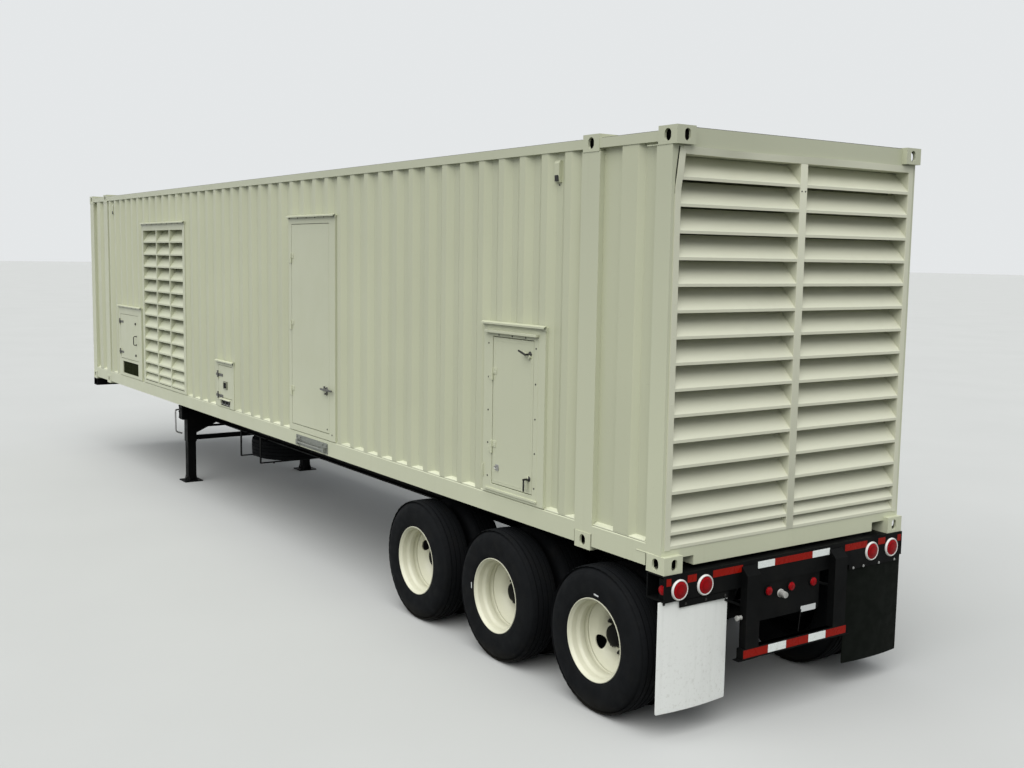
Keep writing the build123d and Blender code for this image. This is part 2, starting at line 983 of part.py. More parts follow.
with BuildPart() as wall_lamps:
    back = skin_y - flute_depth
    face = back + lamp_body_depth
    low, high = (deck_height + z for z in lamp_span)
    for side in (NEAR, FAR):
        for station in lamp_stations:
            profile = [(back, low), (back, high), (face - 12, high), (face, high - 20), (face, low + 45), (face - 10, low)]
            x = mid_x + station
            prism_x([(side * y, z) for y, z in profile], x - lamp_width / 2, x + lamp_width / 2)

# Chassis beams: deep under the enclosure, stepped up into the tunnel at the front
beam_y = beam_spacing / 2
beam_low = deck_height - beam_depth
gooseneck_top = deck_height + gooseneck_depth
rear_bolster_x = (rear_x + 12 - bolster_length, rear_x + 12)
step_start = front_x + tunnel_length - tunnel_clearance - 220
beam_profile = [
    (front_x + 20, deck_height),
    (front_x + 20, gooseneck_top),
    (step_start, gooseneck_top),
    (step_start + 200, deck_height),
    (rear_bolster_x[0], deck_height),
    (rear_bolster_x[0], beam_low),
    (front_x + gooseneck_start + gooseneck_run, beam_low),
    (front_x + gooseneck_start, deck_height),
]

with BuildPart() as main_beams:
    for side in (NEAR, FAR):
        y = side * beam_y
        prism_y(beam_profile, y - beam_width / 2, y + beam_width / 2)
        for face in (-1, 1):
            outer, inner = y + face * beam_width / 2, y + face * beam_web / 2
            with BuildSketch(Plane.XZ.offset(-max(outer, inner))):
                outline(beam_profile)
                offset(amount=-beam_flange, mode=Mode.REPLACE)
            extrude(amount=abs(outer - inner), mode=Mode.SUBTRACT)

# Cross members between the beams, seated between their webs
first_axle_x = rear_x - axle_setback - (axle_count - 1) * axle_pitch
axle_xs = [first_axle_x + i * axle_pitch for i in range(axle_count)]
cross_xs = [front_x + leg_setback] + [
    front_x + leg_setback + i * (first_axle_x - axle_pitch - front_x - leg_setback) / 5 for i in (1, 3, 4, 5)
]
cross_xs += [x + axle_pitch / 2 for x in axle_xs[:-1]]

with BuildPart() as cross_members:
    inner = beam_y - beam_web / 2
    low = deck_height - beam_flange - cross_member_depth
    for x in cross_xs:
        block((x - 45, x + 45), (-inner, inner), (low, low + cross_member_depth))
        block((x - 37, x + 45), (-inner, inner), (low + 8, low + cross_member_depth - 8), Mode.SUBTRACT)

# Coupler plate and kingpin under the gooseneck
coupler_x = front_x + kingpin_setback
coupler_low = deck_height - coupler_thickness
head_low = coupler_low - kingpin_shoulder - kingpin_neck - kingpin_head

with BuildPart() as coupler:
    block(
        (coupler_x - 500, coupler_x - 500 + coupler_length),
        (-beam_y - beam_width / 2, beam_y + beam_width / 2),
        (coupler_low, deck_height),
    )
    with BuildSketch(Plane.XZ):
        with BuildLine():
            Polyline(
                (coupler_x, coupler_low),
                (coupler_x + kingpin_head_radius, coupler_low),
                (coupler_x + kingpin_head_radius, coupler_low - kingpin_shoulder),
                (coupler_x + kingpin_radius, coupler_low - kingpin_shoulder),
                (coupler_x + kingpin_radius, head_low + kingpin_head),
                (coupler_x + kingpin_head_radius, head_low + kingpin_head),
                (coupler_x + kingpin_head_radius, head_low + 8),
                (coupler_x + kingpin_head_radius - 8, head_low),
                (coupler_x, head_low),
                close=True,
            )
        make_face()
    revolve(axis=Axis((coupler_x, 0, 0), (0, 0, 1)))

# Bolsters: cross beams under the enclosure's corner castings, the rear one with the lamp panel
with BuildPart() as front_bolster:
    block(
        (front_x, front_x + bolster_length),
        (-half_width, half_width),
        (deck_height - front_bolster_height, deck_height),
    )
    block(
        (front_x + bolster_wall, front_x + bolster_length - bolster_wall),
        (-half_width, half_width),
        (deck_height - front_bolster_height + bolster_wall, deck_height - bolster_wall),
        Mode.SUBTRACT,
    )

bolster_low = deck_height - bolster_height
panel_bottom = deck_height - panel_drop
panel_x = rear_bolster_x[1] - panel_setback

with BuildPart() as rear_bolster:
    block(rear_bolster_x, (-half_width, half_width), (bolster_low, deck_height))
    block(
        (rear_bolster_x[0] + bolster_wall, rear_bolster_x[1] - bolster_wall),
        (-half_width, half_width),
        (bolster_low + bolster_wall, deck_height - bolster_wall),
        Mode.SUBTRACT,
    )
    block(
        (panel_x - panel_sheet, panel_x),
        (-panel_half_width, panel_half_width),
        (panel_bottom, bolster_low),
    )
    for side in (NEAR, FAR):
        prism_y(
            [
                (rear_bolster_x[0] + 20, bolster_low),
                (panel_x - panel_sheet, bolster_low),
                (panel_x - panel_sheet, panel_bottom + 40),
            ],
            side * (panel_half_width - 14),
            side * (panel_half_width - 22),
        )

# Rear bumper: two uprights with sloping heads and a bar across
bumper_x = (rear_bolster_x[1], rear_x + bumper_reach)

with BuildPart() as rear_bumper:
    for side in (NEAR, FAR):
        y = (side * upright_inner, side * upright_outer)
        prism_y(
            [
                (bumper_x[0], bumper_low),
                (bumper_x[0], deck_height - 32),
                (bumper_x[0] + 6, deck_height - 32),
                (bumper_x[1], deck_height - 90),
                (bumper_x[1], bumper_low),
            ],
            *y,
        )
    block(bumper_x, (-bumper_half_width, bumper_half_width), (bumper_low, bumper_low + bumper_bar))

# Lamps on the rear bolster and the lamp panel
tail_lamp_z = deck_height - 107

with BuildPart() as rear_lamps:
    for y in (-1090, -860, 860, 1090):
        cylinder_along("x", (rear_bolster_x[1] + lamp_depth / 2, y, tail_lamp_z), lamp_radius, lamp_depth)
    for y in (-230, 0, 230):
        at = panel_x + small_lamp_depth / 2
        cylinder_along("x", (at, y, deck_height - 250), small_lamp_radius, small_lamp_depth)


# Mud flaps: sheets with a shallow bow, hung from angle brackets under the bolster
def flap_arc(side):
    inner, outer = side * flap_inner, side * flap_outer
    x = rear_bolster_x[1] - flap_setback
    return [(x, inner), (x + flap_bow, (inner + outer) / 2), (x, outer)]


with BuildPart() as mud_flaps:
    for side in (NEAR, FAR):
        start, crown, end = flap_arc(side)
        sheet = flap_sheet
        with BuildSketch(Plane.XY.offset(flap_bottom)):
            with BuildLine():
                ThreePointArc(start, crown, end)
                Line(end, (end[0] - sheet, end[1]))
                ThreePointArc(
                    (end[0] - sheet, end[1]), (crown[0] - sheet, crown[1]), (start[0] - sheet, start[1])
                )
                Line((start[0] - sheet, start[1]), start)
            make_face()
        extrude(amount=bolster_low - flap_bottom)


# Suspension: hangers under the beams, leaf springs, and the axles that they carry
axle_z = tyre_radius
spring_seat_z = axle_z + axle_tube_radius + 18
spring_stack = spring_leaf * spring_leaves
spring_end_z = spring_seat_z + spring_stack + spring_camber
hanger_low = spring_end_z - spring_leaf - 62
hanger_gap = spring_width / 2 + 1


def hanger(x, side):
    """A folded channel under the beam: a top plate and two cheeks with the spring between."""
    y = side * beam_y
    x = (x - hanger_length / 2, x + hanger_length / 2)
    pad = (spring_end_z, spring_end_z + hanger_wall)
    block(x, (y - hanger_gap, y + hanger_gap), pad)
    for face in (-1, 1):
        cheek = (y + face * hanger_gap, y + face * (hanger_gap + hanger_wall))
        block(x, cheek, (hanger_low, beam_low))


hanger_xs = [x + end * (spring_half_length - hanger_length / 2) for x in axle_xs for end in (-1, 1)]

with BuildPart() as spring_hangers:
    for side in (NEAR, FAR):
        for x in hanger_xs:
            hanger(x, side)

with BuildPart() as leaf_springs:
    for side in (NEAR, FAR):
        for x in axle_xs:
            low, high = spring_seat_z, spring_end_z
            tip = spring_half_length
            with BuildSketch(Plane.XZ.offset(-(side * beam_y + spring_width / 2))):
                with BuildLine():
                    ThreePointArc((x - tip, high), (x, low + spring_stack), (x + tip, high))
                    Line((x + tip, high), (x + tip, high - spring_leaf))
                    Line((x + tip, high - spring_leaf), (x + tip * 0.72, high - spring_leaf * 3.6))
                    ThreePointArc(
                        (x + tip * 0.72, high - spring_leaf * 3.6),
                        (x, low),
                        (x - tip * 0.72, high - spring_leaf * 3.6),
                    )
                    Line((x - tip * 0.72, high - spring_leaf * 3.6), (x - tip, high - spring_leaf))
                    Line((x - tip, high - spring_leaf), (x - tip, high))
                make_face()
            extrude(amount=spring_width)

# Wheels: dual tyres on two dished discs, bolted back to back on a hub with its drum
outer_tyre_y = tyre_track / 2 - tyre_width / 2
inner_tyre_y = outer_tyre_y - dual_spacing
disc_y = (outer_tyre_y + inner_tyre_y) / 2
rim_half_width = 115
drum_inner_y = disc_y - drum_length
hub_outer_y = disc_y + hub_reach
spindle_end_y = hub_outer_y - 20

with BuildPart() as axles:
    for x in axle_xs:
        cylinder_along("y", (x, 0, axle_z), axle_tube_radius, 2 * (drum_inner_y - 12))
        cylinder_along("y", (x, 0, axle_z), hub_bore - spindle_clearance, 2 * spindle_end_y)
        for side in (NEAR, FAR):
            y = side * beam_y
            block((x - 60, x + 60), (y - 44, y + 44), (axle_z, spring_seat_z))
            cylinder_along("x", (x + 165, side * (beam_y - 150), axle_z + 30), 70, 150)
            block(
                (x + 40, x + 92),
                (side * (beam_y - 190), side * (beam_y - 110)),
                (axle_z - 10, axle_z + 50),
            )


def ring(x, y, points, mode=Mode.ADD):
    """A solid turned about a wheel's axis from (radius, distance outward from y) points."""
    side = 1 if y > 0 else -1
    with BuildSketch(Plane.XY.offset(axle_z)) as section:
        outline([(x + radius, y + side * along) for radius, along in points])
    revolve(section.sketch, axis=Axis((x, 0, axle_z), (0, 1, 0)), mode=mode)


def tyre(x, y):
    """Square-shouldered highway tyre with grooves round its tread."""
    half = tyre_width / 2
    tread = half * 0.76
    groove, groove_depth = 5, 12
    face = []
    for at in (-0.5, 0, 0.5):
        middle = at * tread
        face += [
            (tyre_radius, middle - groove),
            (tyre_radius - groove_depth, middle - groove),
            (tyre_radius - groove_depth, middle + groove),
            (tyre_radius, middle + groove),
        ]
    bead = rim_radius + 0.3
    flank = (tyre_radius + bead) / 2
    ring(
        x,
        y,
        [(bead, -rim_half_width + 11), (bead + 26, -half * 0.86), (flank, -half)]
        + [(tyre_radius - 42, -half * 0.93), (tyre_radius - 8, -tread)]
        + face
        + [(tyre_radius - 8, tread), (tyre_radius - 42, half * 0.93)]
        + [(flank, half), (bead + 26, half * 0.86), (bead, rim_half_width - 11)],
    )


def rim(x, y, facing):
    """A dished disc wheel: a rolled barrel with its well, and the disc's bowl down to its seat."""
    sheet = rim_sheet
    half = rim_half_width
    bottom = rim_radius - rim_well
    barrel = [
        (rim_flange_radius, half + 9),
        (rim_flange_radius, half - 2),
        (rim_radius, half - 10),
        (rim_radius, 52),
        (bottom, 34),
        (bottom, -8),
        (rim_radius, -40),
        (rim_radius, 10 - half),
        (rim_flange_radius, 2 - half),
        (rim_flange_radius, -half - 9),
        (rim_flange_radius - sheet, -half - 9),
        (rim_radius - sheet, 16 - half),
        (rim_radius - sheet, -34),
        (bottom - sheet, -6),
        (bottom - sheet, 30),
        (rim_radius - sheet, 48),
        (rim_radius - sheet, half - 16),
        (rim_flange_radius - sheet, half + 9),
    ]
    ring(x, y, [(radius, facing * along) for radius, along in barrel])
    seat = disc_seam - abs(disc_y - abs(y))
    front = seat + disc_sheet
    bowl = [
        (hub_pilot_radius, front),
        (disc_seat_radius, front),
        (disc_seat_radius + 10, front + 12),
        (disc_seat_radius + 20, front + 32),
        (disc_seat_radius + 46, front + 73),
        (disc_seat_radius + 82, front + 95),
        (rim_radius - 26, front + 112),
        (rim_radius - sheet / 2, front + 118),
        (rim_radius - sheet / 2, front + 98),
        (disc_seat_radius + 86, front + 82),
        (disc_seat_radius + 56, front + 62),
        (disc_seat_radius + 34, front + 27),
        (disc_seat_radius + 20, seat + 10),
        (disc_seat_radius + 6, seat),
        (hub_pilot_radius, seat),
    ]
    ring(x, y, [(radius, facing * along) for radius, along in bowl])


def hub(x, side):
    """Hub with its pilot and flange, bearing cap and brake drum, bored for the spindle."""
    flange = -disc_sheet - disc_seam - hub_clearance
    pilot = hub_pilot_radius - hub_clearance
    ring(
        x,
        side * disc_y,
        [
            (0, hub_reach),
            (hub_cap_radius - 26, hub_reach),
            (hub_cap_radius - 4, hub_reach - 14),
            (hub_cap_radius, hub_reach - 60),
            (pilot, disc_sheet + 10),
            (pilot, flange),
            (disc_seat_radius - 6, flange),
            (disc_seat_radius - 2, flange - 20),
            (drum_radius - 20, flange - 56),
            (drum_radius, flange - 86),
            (drum_radius, -drum_length),
            (hub_bore, -drum_length),
            (hub_bore, spindle_end_y - disc_y + 2),
            (0, spindle_end_y - disc_y + 2),
        ],
    )


def wheel_rims(x, side, turn):
    """Both dished wheels and the hub of one end, with two hand holes through the discs."""
    rim(x, side * outer_tyre_y, 1)
    rim(x, side * inner_tyre_y, -1)
    for opposite in (0, 180):
        angle = radians(turn + opposite)
        centre = (
            x + hand_hole_circle * cos(angle),
            side * disc_y,
            axle_z + hand_hole_circle * sin(angle),
        )
        cylinder_along("y", centre, hand_hole_radius, dual_spacing - 80, Mode.SUBTRACT)
    hub(x, side)


wheel_places = [
    (side_name, row_name, side, x, turn)
    for side_name, side in (("near", NEAR), ("far", FAR))
    for row_name, x, turn in zip(("front", "middle", "rear"), axle_xs, hand_hole_turns)
]
wheel_parts = {}
for side_name, row_name, side, x, turn in wheel_places:
    with BuildPart() as tyres:
        tyre(x, side * outer_tyre_y)
        tyre(x, side * inner_tyre_y)
    with BuildPart() as rims:
        wheel_rims(x, side, turn)
    wheel_parts[f"{side_name}_{row_name}_tyres"] = tyres
    wheel_parts[f"{side_name}_{row_name}_wheel"] = rims

# Landing gear: square housings braced to the beams, inner legs with shoes on the ground
leg_x = front_x + leg_setback
housing_top = deck_height - 10
leg_housing_low = housing_top - leg_tube_wall - 32 - leg_travel - leg_overlap
housing_half = leg_tube / 2
bore_half = housing_half - leg_tube_wall
leg_half = bore_half - leg_clearance
beam_side = beam_y + beam_width / 2
web_side = beam_y + beam_web / 2
tie_z = leg_housing_low + 45

with BuildPart() as landing_gear:
    for side in (NEAR, FAR):
        y = side * leg_offset
        x = (leg_x - housing_half, leg_x + housing_half)
        inner_y = side * (leg_offset - housing_half)
        block(x, (y - housing_half, y + housing_half), (leg_housing_low, housing_top))
        block(
            (leg_x - bore_half, leg_x + bore_half),
            (y - bore_half, y + bore_half),
            (leg_housing_low, housing_top - leg_tube_wall),
            Mode.SUBTRACT,
        )
        for at in (x[0], x[1] - 12):
            prism_x(
                [
                    (side * web_side, deck_height - beam_flange),
                    (inner_y, deck_height - beam_flange),
                    (inner_y, leg_housing_low + 120),
                    (side * beam_side, beam_low + beam_flange),
                    (side * web_side, beam_low + beam_flange),
                ],
                at,
                at + 12,
            )
    tie_half = leg_offset - housing_half
    block((leg_x - 30, leg_x + 30), (-tie_half, tie_half), (tie_z - 30, tie_z + 30))
    cylinder_along("y", (leg_x, 0, beam_low - 40), 16, 2 * tie_half)


def landing_leg(side):
    y = side * leg_offset
    top = leg_housing_low + leg_overlap
    block((leg_x - leg_half, leg_x + leg_half), (y - leg_half, y + leg_half), (shoe_thickness, top))
    hollow = leg_half - leg_tube_wall
    block(
        (leg_x - hollow, leg_x + hollow),
        (y - hollow, y + hollow),
        (shoe_thickness + shoe_neck, top),
        Mode.SUBTRACT,
    )
    base, neck = shoe_size / 2, leg_half
    block((leg_x - base, leg_x + base), (y - base, y + base), (0, shoe_thickness))
    for face in (-1, 1):
        rib = y + face * (leg_half - 8)
        prism_y(
            [
                (leg_x - base + 15, shoe_thickness),
                (leg_x + base - 15, shoe_thickness),
                (leg_x + neck, shoe_thickness + shoe_neck + 30),
                (leg_x - neck, shoe_thickness + shoe_neck + 30),
            ],
            rib - 6,
            rib + 6,
        )


with BuildPart() as near_landing_leg:
    landing_leg(NEAR)

with BuildPart() as far_landing_leg:
    landing_leg(FAR)

# Spare wheel, flat under the beams on a cradle of two bars hung from them
spare_x = mid_x + spare_station
spare_top = beam_low - spare_gap
spare_mid = spare_top - tyre_width / 2
cradle_bar = 40

with BuildPart() as spare_tyre:
    half = tyre_width / 2
    with BuildSketch(Plane.XZ):
        outline(
            [
                (spare_x + radius, spare_mid + along)
                for radius, along in [
                    (rim_radius, -half * 0.7),
                    (rim_radius + 26, -half * 0.88),
                    (rim_radius + 120, -half),
                    (tyre_radius - 42, -half * 0.93),
                    (tyre_radius, -half * 0.7),
                    (tyre_radius, half * 0.7),
                    (tyre_radius - 42, half * 0.93),
                    (rim_radius + 120, half),
                    (rim_radius + 26, half * 0.88),
                    (rim_radius, half * 0.7),
                ]
            ]
        )
    revolve(axis=Axis((spare_x, 0, 0), (0, 0, 1)))

with BuildPart() as spare_cradle:
    low = spare_mid - tyre_width / 2
    for end in (-1, 1):
        x = spare_x + end * 330
        reach = tyre_radius + 60
        block((x - cradle_bar / 2, x + cradle_bar / 2), (-reach, reach), (low - 12, low))
        for side in (NEAR, FAR):
            block(
                (x - cradle_bar / 2, x + cradle_bar / 2),
                (side * reach, side * (reach - 10)),
                (low - 12, beam_low + 40),
            )
            block(
                (x - cradle_bar / 2, x + cradle_bar / 2),
                (side * reach, side * (beam_y + beam_width / 2)),
                (beam_low, beam_low + 10),
            )

pieces = {
    "corner_castings": corner_castings,
    "lifting_castings": lifting_castings,
    "posts": posts,
    "bottom_side_rails": bottom_side_rails,
    "top_side_rails": top_side_rails,
    "end_beams": end_beams,
    "floor_deck": floor_deck,
    "floor_joists": floor_joists,
    "roof_panel": roof_panel,
    "near_wall_panels": near_wall_panels,
    "near_wall_heads": near_wall_heads,
    "far_wall_panels": far_wall_panels,
    "far_wall_heads": far_wall_heads,
    "front_wall": front_wall,
    "intake_louvre_frames": intake_louvre_frames,
    "near_intake_blades": near_intake_blades,
    "far_intake_blades": far_intake_blades,
    "rear_louvre_frame": rear_louvre_frame,
    "rear_louvre_blades": rear_louvre_blades,
    "door_frames": door_frames,
    "cable_cabinet": cable_cabinet,
    "fuel_cabinet": fuel_cabinet,
    "cable_guard": cable_guard,
    "near_door": near_door,
    "near_door_handle": near_door_handle,
    "far_door": far_door,
    "access_door": access_door,
    "cable_panel_door": cable_panel_door,
    "fuel_panel_door": fuel_panel_door,
    "step_plate": step_plate,
    "wall_lamps": wall_lamps,
    "main_beams": main_beams,
    "cross_members": cross_members,
    "coupler": coupler,
    "front_bolster": front_bolster,
    "rear_bolster": rear_bolster,
    "rear_bumper": rear_bumper,
    "rear_lamps": rear_lamps,
    "mud_flaps": mud_flaps,
    "spring_hangers": spring_hangers,
    "leaf_springs": leaf_springs,
    "axles": axles,
    "landing_gear": landing_gear,
    "near_landing_leg": near_landing_leg,
    "far_landing_leg": far_landing_leg,
    "spare_tyre": spare_tyre,
    "spare_cradle": spare_cradle,
    **wheel_parts,
}
for name, piece in pieces.items():
    save(piece, name)
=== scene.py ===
"""Looks for a containerised diesel generator on its tri-axle chassis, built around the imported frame."""

import json

import bpy
import numpy as np
from mathutils import Matrix, Vector


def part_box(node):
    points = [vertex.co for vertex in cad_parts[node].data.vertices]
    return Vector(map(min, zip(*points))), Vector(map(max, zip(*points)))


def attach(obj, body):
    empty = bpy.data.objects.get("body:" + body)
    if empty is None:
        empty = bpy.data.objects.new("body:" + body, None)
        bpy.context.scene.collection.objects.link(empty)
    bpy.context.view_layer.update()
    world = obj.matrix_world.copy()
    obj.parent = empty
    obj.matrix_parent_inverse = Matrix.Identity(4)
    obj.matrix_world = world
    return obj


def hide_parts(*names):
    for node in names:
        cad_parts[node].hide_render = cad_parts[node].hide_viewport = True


bl_info = {
    "name": "Containerised Diesel Generator",
    "version": (1, 0, 0),
    "blender": (4, 5, 0),
    "location": "3D View > Sidebar > Generator",
    "description": "Paints and fits out a diesel generator enclosure on its chassis",
    "category": "Object",
}

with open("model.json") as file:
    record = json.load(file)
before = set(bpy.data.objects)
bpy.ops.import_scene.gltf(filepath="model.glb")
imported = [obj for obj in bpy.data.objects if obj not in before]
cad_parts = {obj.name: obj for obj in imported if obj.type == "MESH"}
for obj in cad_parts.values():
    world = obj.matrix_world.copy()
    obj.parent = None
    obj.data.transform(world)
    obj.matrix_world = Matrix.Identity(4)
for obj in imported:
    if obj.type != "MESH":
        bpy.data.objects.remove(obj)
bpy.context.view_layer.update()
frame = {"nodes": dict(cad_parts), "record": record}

SIDES = {"near": -1, "far": 1}
ROWS = ("front", "middle", "rear")
X, Y, Z = np.eye(3)


def corners_of(node):
    """Lowest and highest corner of a node's box."""
    return [np.array(corner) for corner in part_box(node)]


def middle_of(node):
    """Middle of a node's box."""
    low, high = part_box(node)
    return np.array((low + high) / 2)


WHEEL_X = [middle_of(f"near_{row}_tyres")[0] for row in ROWS]
TYRE_LOW, TYRE_HIGH = corners_of("far_front_tyres")
TYRE_RADIUS = (TYRE_HIGH[2] - TYRE_LOW[2]) / 2
DISC_Y = (TYRE_LOW[1] + TYRE_HIGH[1]) / 2
BOLSTER_FACE = corners_of("rear_bolster")[1][0]
BOX_LOW, BOX_HIGH = corners_of("corner_castings")
DECK, TOP, FACE = BOX_LOW[2], BOX_HIGH[2], BOX_HIGH[1]
MID_X = (BOX_LOW[0] + BOX_HIGH[0]) / 2
AXLE_Z = TYRE_RADIUS


def on_wall(x, z, proud=0.0, sign=-1):
    """A place on a side wall, from the enclosure's middle and its underside."""
    return np.array([MID_X + x, sign * (FACE + proud), DECK + z])


# ---------------------------------------------------------------- sizes and colours that a user may change


class GENSET_PG_paint(bpy.types.PropertyGroup):
    """Colours of the finishes, as linear red, green and blue."""

    enclosure: bpy.props.FloatVectorProperty(
        name="Enclosure", description="Cream enamel on the walls, doors and louvres",
        default=(0.52, 0.545, 0.395), subtype="COLOR", size=3, min=0, max=1,
    )
    wheel: bpy.props.FloatVectorProperty(
        name="Wheels", description="Enamel on the wheel rims and discs",
        default=(0.64, 0.635, 0.5), subtype="COLOR", size=3, min=0, max=1,
    )
    chassis: bpy.props.FloatVectorProperty(
        name="Chassis", description="Satin black on beams, bolsters and running gear",
        default=(0.0036, 0.0039, 0.004), subtype="COLOR", size=3, min=0, max=1,
    )
    rubber: bpy.props.FloatVectorProperty(
        name="Tyres", description="Tread and side wall rubber",
        default=(0.0068, 0.0075, 0.0085), subtype="COLOR", size=3, min=0, max=1,
    )
    flap: bpy.props.FloatVectorProperty(
        name="Mud flap", description="White sheet of the near mud flap",
        default=(0.84, 0.86, 0.84), subtype="COLOR", size=3, min=0, max=1,
    )


class GENSET_PG_wheels(bpy.types.PropertyGroup):
    """Sizes of the wheel ends."""

    segments: bpy.props.IntProperty(
        name="Segments", description="Steps round a tyre", default=192, min=48, max=384
    )
    nut_count: bpy.props.IntProperty(
        name="Wheel nuts", description="Nuts on each hub", default=10, min=4, max=12
    )
    nut_circle: bpy.props.FloatProperty(
        name="Nut circle", description="Radius of the circle of nuts",
        default=0.1429, min=0.1, max=0.2, unit="LENGTH",
    )
    hand_hole: bpy.props.FloatProperty(
        name="Hand hole", description="Half the length of the two oval hand holes in each disc",
        default=0.053, min=0.02, max=0.06, unit="LENGTH",
    )
    hand_slot: bpy.props.FloatProperty(
        name="Hand hole width", description="Half the width of each hand hole, seen along the axle",
        default=0.027, min=0.015, max=0.05, unit="LENGTH",
    )


class GENSET_PG_fittings(bpy.types.PropertyGroup):
    """Sizes of the small fittings on the enclosure."""

    rivet: bpy.props.FloatProperty(
        name="Rivet head", description="Radius of a rivet head on the door flanges",
        default=0.006, min=0.002, max=0.015, unit="LENGTH",
    )
    dent: bpy.props.FloatProperty(
        name="Dent", description="How far the rear louvre's near flange is bent in at its top",
        default=0.032, min=0, max=0.06, unit="LENGTH",
    )
    bead: bpy.props.FloatProperty(
        name="Weld bead", description="Radius of the weld beads over the corner castings",
        default=0.004, min=0.001, max=0.01, unit="LENGTH",
    )


class GENSET_PG_stage(bpy.types.PropertyGroup):
    """Floor and light."""

    floor_size: bpy.props.FloatProperty(
        name="Floor", description="Half the floor's width", default=300, min=20, unit="LENGTH"
    )
    sky: bpy.props.FloatProperty(
        name="Sky", description="Strength of the even light from the sky", default=0.58, min=0, max=4
    )
    sun: bpy.props.FloatProperty(
        name="Sun", description="Strength of the soft light from above", default=3.3, min=0, max=8
    )


# ---------------------------------------------------------------- surfaces


def shell(rings, wrap=False):
    """A skin over rings of equally many points, given as (ring, point, 3).

    Each ring closes on itself, and ring r joins ring r + 1, so face (r, p) has
    the corners (r, p), (r, p+1), (r+1, p+1), (r+1, p). With wrap the last ring
    joins the first; without it each end closes in a fan to the ring's middle.
    """
    rings = np.asarray(rings, float)
    m, n, _ = rings.shape
    r = np.arange(m if wrap else m - 1)[:, None]
    p = np.arange(n)[None, :]
    q, s = (p + 1) % n, (r + 1) % m
    quads = np.stack([r * n + p, r * n + q, s * n + q, s * n + p], -1).reshape(-1, 4)
    points = rings.reshape(-1, 3)
    if wrap:
        return points, quads, np.zeros((0, 3), int)
    ends = rings[[0, -1]].mean(axis=1)
    p, q = np.arange(n), (np.arange(n) + 1) % n
    last = (m - 1) * n
    first_fan = np.stack([np.full(n, m * n), q, p], -1)
    last_fan = np.stack([np.full(n, m * n + 1), last + p, last + q], -1)
    return np.vstack([points, ends]), quads, np.vstack([first_fan, last_fan])


def sheet_grid(points):
    """A single-sided skin over a (row, column, 3) grid, with no wrap and no caps."""
    m, n, _ = points.shape
    r, p = np.arange(m - 1)[:, None], np.arange(n - 1)[None, :]
    quads = np.stack([r * n + p, r * n + p + 1, (r + 1) * n + p + 1, (r + 1) * n + p], -1)
    return points.reshape(-1, 3), quads.reshape(-1, 4), np.zeros((0, 3), int)


def merged(shells):
    """Several shells as one, their faces renumbered."""
    starts = np.cumsum([0] + [len(s[0]) for s in shells[:-1]])
    return (
        np.vstack([s[0] for s in shells]),
        np.vstack([s[1] + start for s, start in zip(shells, starts)]),
        np.vstack([s[2] + start for s, start in zip(shells, starts)]),
    )


def copies(one, places, turns=None):
    """One shell at many places: points times each 3 by 3 turn, plus each place."""
    points, quads, tris = one
    places = np.asarray(places, float).reshape(-1, 3)
    k = len(places)
    spread = np.broadcast_to(points, (k,) + points.shape)
    if turns is not None:
        spread = np.einsum("kij,kpj->kpi", np.asarray(turns, float), spread)
    steps = (np.arange(k) * len(points))[:, None, None]
    return (
        (spread + places[:, None, :]).reshape(-1, 3),
        (quads[None] + steps).reshape(-1, 4),
        (tris[None] + steps).reshape(-1, 3),
    )


def turn_to(direction, across=None):
    """3 by 3 turn that takes Z to a direction, and X as near as may be to across."""
    d = np.asarray(direction, float)
    d = d / np.linalg.norm(d)
    a = np.asarray(across if across is not None else (Z if abs(d[2]) < 0.9 else X), float)
    x = a - d * (a @ d)
    x = x / np.linalg.norm(x)
    return np.stack([x, np.cross(d, x), d], axis=1)


def placed(one, place, direction=Z, across=None):
    """A shell turned so that its Z points along a direction, then moved."""
    return copies(one, [place], [turn_to(direction, across)])


def each(one, places, direction):
    """One shell at many places, its Z along a direction."""
    return copies(placed(one, (0, 0, 0), direction), places)


def flipped(one):
    """A shell with its faces turned round."""
    return one[0], one[1][:, ::-1], one[2][:, ::-1]


def outward(one):
    """A closed shell with its faces outward, told by the sign of the volume it holds."""
    points, quads, tris = one
    corners = np.vstack([quads[:, [0, 1, 2]], quads[:, [0, 2, 3]], tris])
    a, b, c = (points[corners[:, i]] for i in range(3))
    return flipped(one) if np.einsum("ij,ij->i", a, np.cross(b, c)).sum() < 0 else one


def joined(shells):
    """Several closed shells as one, each with its faces outward."""
    return merged([outward(one) for one in shells])


def lathe(profile, segments=32, wrap=False):
    """A profile of (radius, height) points turned about Z.

    Point (u, v) is (r(v) cos u, r(v) sin u, h(v)). Heights rise along an open
    profile, or it runs round anticlockwise with wrap.
    """
    r, h = np.asarray(profile, float).T
    u = np.linspace(0, 2 * np.pi, segments, endpoint=False)
    rings = np.stack(
        [r[:, None] * np.cos(u), r[:, None] * np.sin(u), np.broadcast_to(h[:, None], (len(h), segments))],
        -1,
    )
    return shell(rings, wrap=wrap)


def turned(profile, segments=32, core=0.0008):
    """A solid turned about Z, its two ends closed down to a core too thin to see."""
    return lathe([(core, profile[0][1]), *profile, (core, profile[-1][1])], segments)


def rounded(width, height, radius, corner):
    """Rectangle with round corners, as (point, 2), anticlockwise: corner middles plus arcs."""
    t = np.linspace(0, np.pi / 2, corner)
    a = (t[None, :] + np.array([0, 1, 2, 3])[:, None] * np.pi / 2).ravel()
    sx = np.repeat([1, -1, -1, 1], corner)
    sy = np.repeat([1, 1, -1, -1], corner)
    return np.stack(
        [sx * (width / 2 - radius) + radius * np.cos(a), sy * (height / 2 - radius) + radius * np.sin(a)], -1
    )


